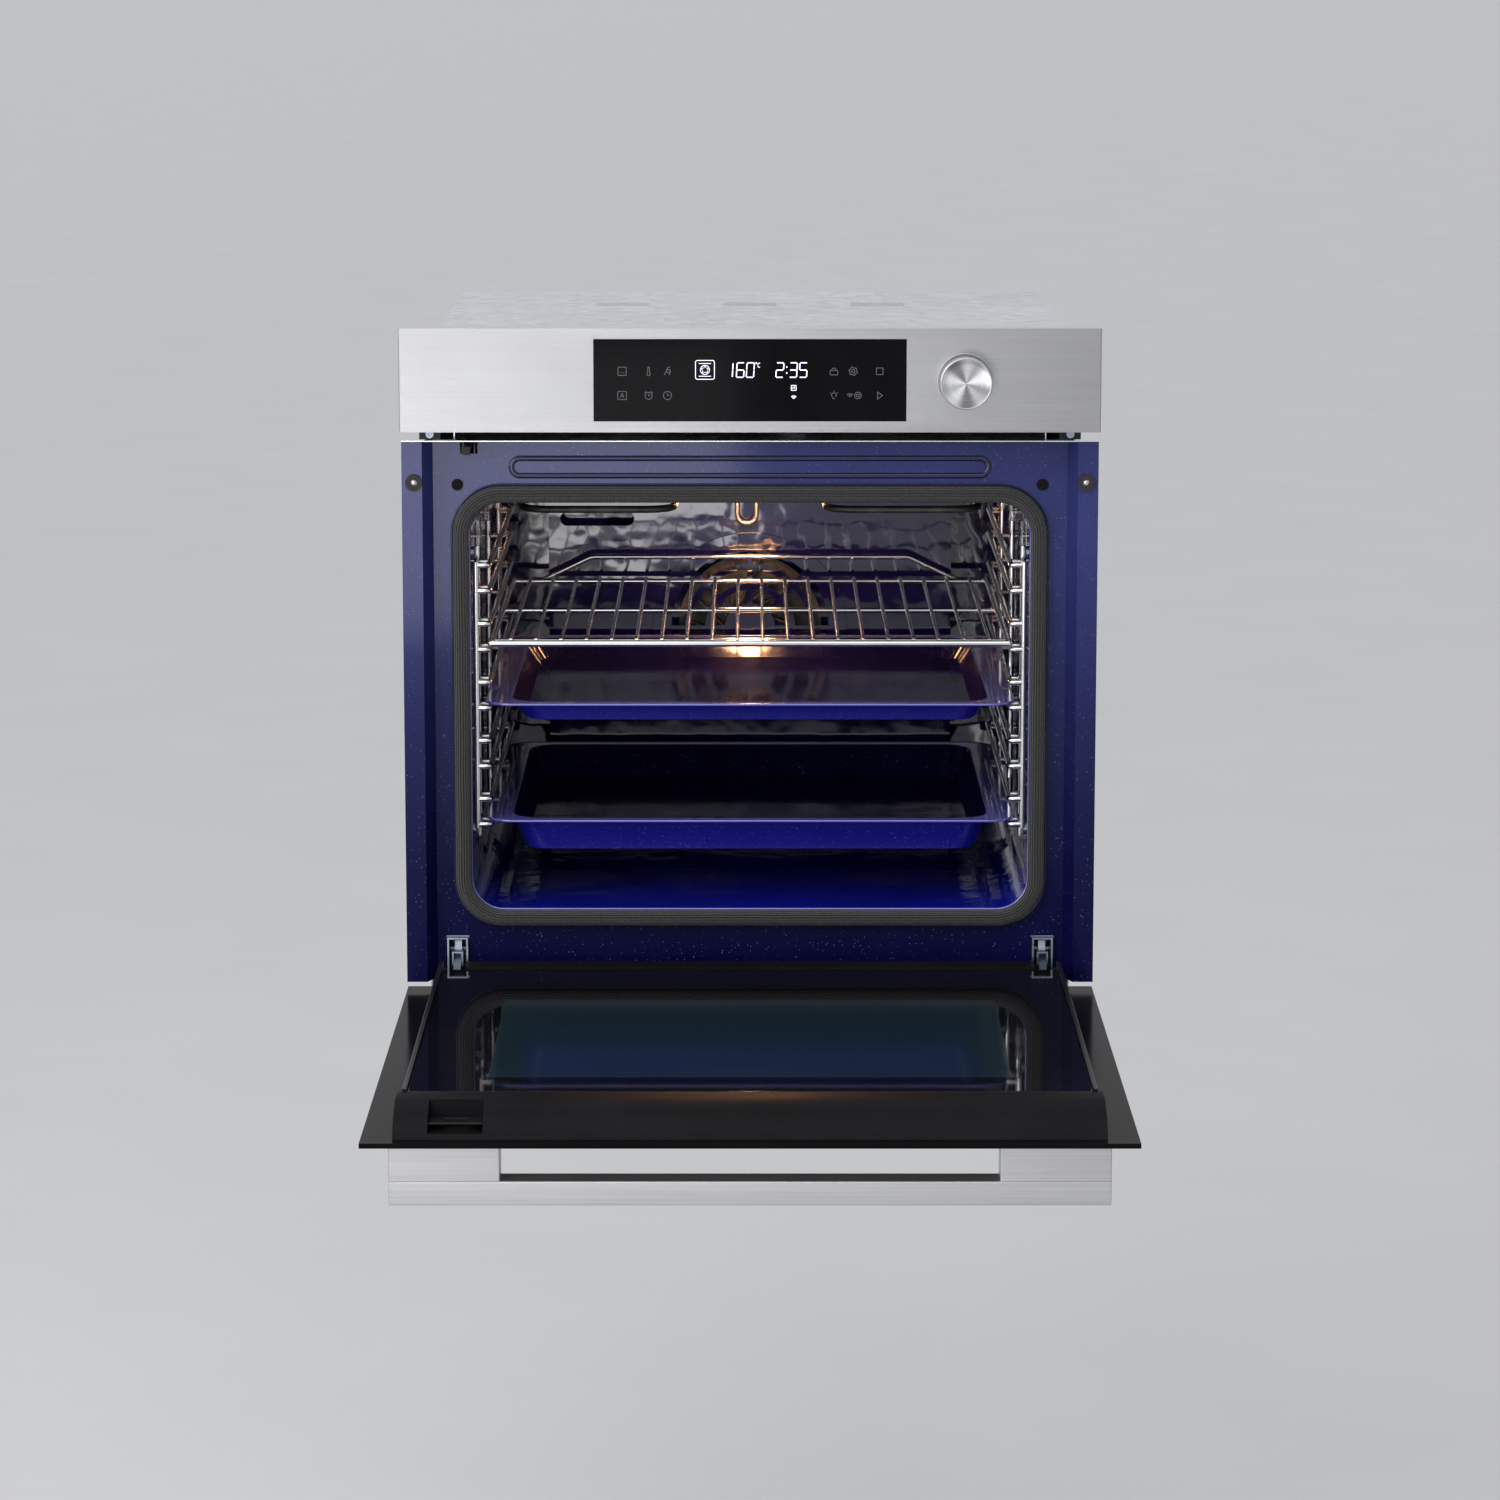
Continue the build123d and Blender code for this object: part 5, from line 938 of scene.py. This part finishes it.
def makeDisplayMarks():
    low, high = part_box("display_glass")
    middle = Vector(((low.x + high.x) / 2, (low.z + high.z) / 2))
    depth = low.y - displayMarks["proud"]
    lit, dim = bmesh.new(), bmesh.new()

    def place(points):
        return [(middle.x + x / 1000, middle.y + z / 1000) for x, z in points]

    def draw(bm, points, width, closed=False):
        strokeInto(bm, place(points), width / 1000, depth, closed)

    def circle(bm, centre, reach, steps, width):
        draw(bm, arcPoints(centre, reach, 0, 360, steps)[:-1], width, True)

    def digit(letter, left, base, wide, high, stroke):
        lean = 0.06
        for key in digitSegments[letter]:
            (ax, az), (bx, bz) = segmentPaths[key]
            start = Vector((left + ax * wide + lean * az * high, base + az * high))
            finish = Vector((left + bx * wide + lean * bz * high, base + bz * high))
            gap = (finish - start).normalized() * stroke * 0.45
            draw(lit, [tuple(start + gap), tuple(finish - gap)], stroke)

    wide, tall, stroke = displayMarks["digitWide"], displayMarks["digitHigh"], displayMarks["stroke"]
    base = 2.6
    for letter, left in (("1", -21.2), ("6", -11.6), ("0", -3.2), ("2", 21.8), ("3", 33.2), ("5", 41.6)):
        digit(letter, left, base, wide, tall, stroke)
    digit("C", 6.6, base + 8.6, 2.0, 3.4, 0.5)
    circle(lit, (5.2, base + 12.0), 0.6, 12, 0.35)
    for rise in (3.6, 8.7):
        draw(lit, [(31.1, base + rise - 0.55), (31.1, base + rise + 0.55)], 1.1)
    oven = (-38.1, 8.9)
    draw(lit, boxPoints(oven, 8.0, 8.0, 1.6), 0.55, True)
    draw(lit, [(oven[0] - 5.2, oven[1] + 5.4), (oven[0] + 5.2, oven[1] + 5.4)], 0.5)
    draw(lit, [(oven[0] - 5.2, oven[1] - 5.4), (oven[0] + 5.2, oven[1] - 5.4)], 0.5)
    circle(lit, oven, 3.9, 28, 0.45)
    for blade in range(5):
        heading = blade * 72 + 18
        tip = (oven[0] + 2.1 * math.cos(math.radians(heading)),
               oven[1] + 2.1 * math.sin(math.radians(heading)))
        draw(lit, arcPoints(tip, 0.85, heading - 120, heading + 120, 8), 0.4)
    draw(lit, boxPoints((37.0, -6.4), 2.1, 2.1, 0.4), 0.5, True)
    draw(lit, [(36.2, -7.3), (36.2, -6.2), (37.8, -5.4), (37.8, -7.3)], 0.5)
    for reach in (1.0, 2.0, 3.0):
        draw(lit, arcPoints((37.0, -16.2), reach, 45, 135, 8), 0.5)

    thin = displayMarks["iconStroke"]
    upper, lower = 7.7, -12.9
    draw(dim, boxPoints((-108.2, upper), 3.5, 3.5, 0.6), thin, True)
    for spot in (-1.6, 0, 1.6):
        draw(dim, [(-108.2 + spot - 0.25, upper - 1.2), (-108.2 + spot + 0.25, upper - 1.2)], 0.5)
    draw(dim, arcPoints((-85.8, upper - 2.4), 1.4, 120, 420, 14) + [(-85.1, upper + 3.0)]
         + arcPoints((-85.8, upper + 3.0), 0.7, 0, 180, 6) + [(-86.5, upper - 1.2)], thin)
    draw(dim, [(-72.6, upper - 3.6), (-70.6, upper + 1.0), (-69.4, upper + 3.4), (-67.6, upper + 3.4)],
         thin)
    circle(dim, (-69.0, upper + 0.2), 1.5, 14, thin)
    draw(dim, [(-68.6, upper - 3.4), (-67.0, upper + 0.4)], thin)
    draw(dim, boxPoints((-108.2, lower), 3.7, 3.5, 0.6), thin, True)
    draw(dim, [(-109.6, lower - 1.8), (-108.2, lower + 2.0), (-106.8, lower - 1.8)], thin)
    draw(dim, [(-109.1, lower - 0.6), (-107.3, lower - 0.6)], thin)
    circle(dim, (-85.8, lower - 0.3), 3.0, 26, thin)
    draw(dim, [(-85.8, lower + 1.5), (-85.8, lower - 0.3), (-84.4, lower - 0.3)], thin)
    draw(dim, [(-89.2, lower + 2.2), (-87.6, lower + 3.6)], thin)
    draw(dim, [(-82.4, lower + 2.2), (-84.0, lower + 3.6)], thin)
    circle(dim, (-69.8, lower), 3.5, 28, thin)
    draw(dim, [(-69.8, lower + 2.1), (-69.8, lower), (-67.9, lower)], thin)
    draw(dim, boxPoints((71.0, upper - 1.2), 3.2, 1.9, 0.7), thin, True)
    draw(dim, arcPoints((71.0, upper + 0.8), 1.9, 0, 180, 10), thin)
    teeth = []
    for step in range(12):
        reach = 3.6 if step % 2 else 2.8
        teeth += arcPoints((87.3, upper), reach, step * 30 + 4, step * 30 + 26, 2)
    draw(dim, teeth, thin, True)
    circle(dim, (87.3, upper), 1.3, 14, thin)
    draw(dim, boxPoints((109.7, upper), 2.8, 2.8, 0.2), thin, True)
    draw(dim, arcPoints((71.0, lower + 0.4), 2.0, -50, 230, 14) + [(70.2, lower - 2.6),
                                                                   (71.8, lower - 2.6)], thin)
    for heading in (30, 90, 150):
        way = (math.cos(math.radians(heading)), math.sin(math.radians(heading)))
        draw(dim, [(71 + reach * way[0], lower + 0.4 + reach * way[1]) for reach in (2.9, 3.8)], thin)
    for reach in (1.2, 2.4, 3.6):
        draw(dim, arcPoints((84.6, lower - 2.0), reach, 45, 135, 8), thin)
    circle(dim, (91.4, lower), 2.8, 22, thin)
    draw(dim, boxPoints((91.4, lower), 1.1, 1.1, 0.3), thin, True)
    draw(dim, [(107.9, lower - 3.0), (107.9, lower + 3.0), (112.2, lower)], thin, True)

    for bm, name, finish in ((lit, "displayDigits", litIcon), (dim, "displaySymbols", dimIcon)):
        bmesh.ops.recalc_face_normals(bm, faces=bm.faces)
        extruded = bmesh.ops.extrude_face_region(bm, geom=bm.faces[:])
        raised = [item for item in extruded["geom"] if isinstance(item, bmesh.types.BMVert)]
        bmesh.ops.translate(bm, vec=(0, displayMarks["proud"] * 0.6, 0), verts=raised)
        bmesh.ops.recalc_face_normals(bm, faces=bm.faces)
        # the extrusion's order changes from run to run, so it is sorted
        for row, key in ((bm.verts, lambda vert: tuple(vert.co)),
                         (bm.faces, lambda face: tuple(face.calc_center_median()))):
            ranks = {item: rank for rank, item in enumerate(sorted(row, key=key))}
            row.sort(key=ranks.get)
        newPiece(name, bm, finish, "oven_body")


makeDisplayMarks()
print("display marks")


# floor, camera and lights

floorSize = {"reach": 400.0, "drop": 0.65}


def makeFloor():
    mesh = bpy.data.meshes.new("paleFloor")
    reach, level = floorSize["reach"], cadLow.z - floorSize["drop"]
    corners = [(-reach, -reach, level), (reach, -reach, level), (reach, reach, level),
               (-reach, reach, level)]
    mesh.from_pydata(corners, [], [(0, 1, 2, 3)])
    floor = bpy.data.objects.new("paleFloor", mesh)
    scene.collection.objects.link(floor)
    material, tree, shader = newMaterial("paleFloor", {"Roughness": 0.7})
    coords = addNode(tree, "TexCoord")
    mottle = addNode(tree, "TexNoise", {"Scale": 3.0, "Detail": 4.0})
    join(tree, (coords.outputs["Object"], mottle.inputs["Vector"]),
         (mixColour(tree, mottle.outputs["Fac"], (0.56, 0.56, 0.565, 1), (0.60, 0.60, 0.605, 1)),
          shader.inputs["Base Color"]))
    mesh.materials.append(material)


def makeCamera():
    view = {"place": (0.0, -3.7408, 0.9459), "pitch": 0.14872, "lens": 105.99, "shift": -0.12}
    data = bpy.data.cameras.new("camera")
    data.lens, data.sensor_width, data.shift_y = view["lens"], 36.0, view["shift"]
    data.clip_start, data.clip_end = 0.1, 900.0
    camera = bpy.data.objects.new("camera", data)
    camera.location = view["place"]
    camera.rotation_euler = (math.pi / 2 - view["pitch"], 0, 0)
    scene.collection.objects.link(camera)
    scene.camera = camera


def areaLight(name, place, aim, size, power):
    data = bpy.data.lights.new(name, "AREA")
    data.shape, data.size, data.size_y = "RECTANGLE", size[0], size[1]
    data.energy = power
    lamp = bpy.data.objects.new(name, data)
    lamp.location = place
    lamp.rotation_euler = (Vector(aim) - Vector(place)).to_track_quat("-Z", "Y").to_euler()
    scene.collection.objects.link(lamp)


lampDrop = 0.012


def makeLights():
    areaLight("softboxLeft", (-2.2, -2.2, 1.5), (0, 0, 0.35), (1.6, 1.8), 40)
    areaLight("softboxTop", (-0.4, -1.4, 2.6), (0, 0, 0.2), (2.4, 1.4), 18)
    areaLight("lowPanel", (-0.75, -3.0, 0.05), (0, 0.2, 0.3), (1.5, 0.45), 8)
    glow = bpy.data.lights.new("ovenLampGlow", "POINT")
    glow.energy, glow.color, glow.shadow_soft_size = 2.2, (1.0, 0.5, 0.22), 0.02
    lamp = bpy.data.objects.new("ovenLampGlow", glow)
    low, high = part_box("lamp_lens")
    lamp.location = (0, (low.y + high.y) / 2, low.z - lampDrop)
    scene.collection.objects.link(lamp)
    world = bpy.data.worlds.new("studio")
    scene.world = world
    world.use_nodes = True
    tree, sky = world.node_tree, world.node_tree.nodes["Background"]
    sky.inputs[0].default_value = (0.93, 0.94, 0.96, 1)
    ways, axes = addNode(tree, "TexCoord"), addNode(tree, "SeparateXYZ")
    fall = addNode(tree, "MapRange", {"From Min": -1.0, "From Max": 1.0, "To Min": 1.25, "To Max": 0.55})
    join(tree, (ways.outputs["Generated"], axes.inputs[0]), (axes.outputs[0], fall.inputs["Value"]),
         (fall.outputs[0], sky.inputs[1]))


makeFloor()
makeCamera()
makeLights()
scene.view_settings.view_transform = "Standard"
print("floor, camera and lights")
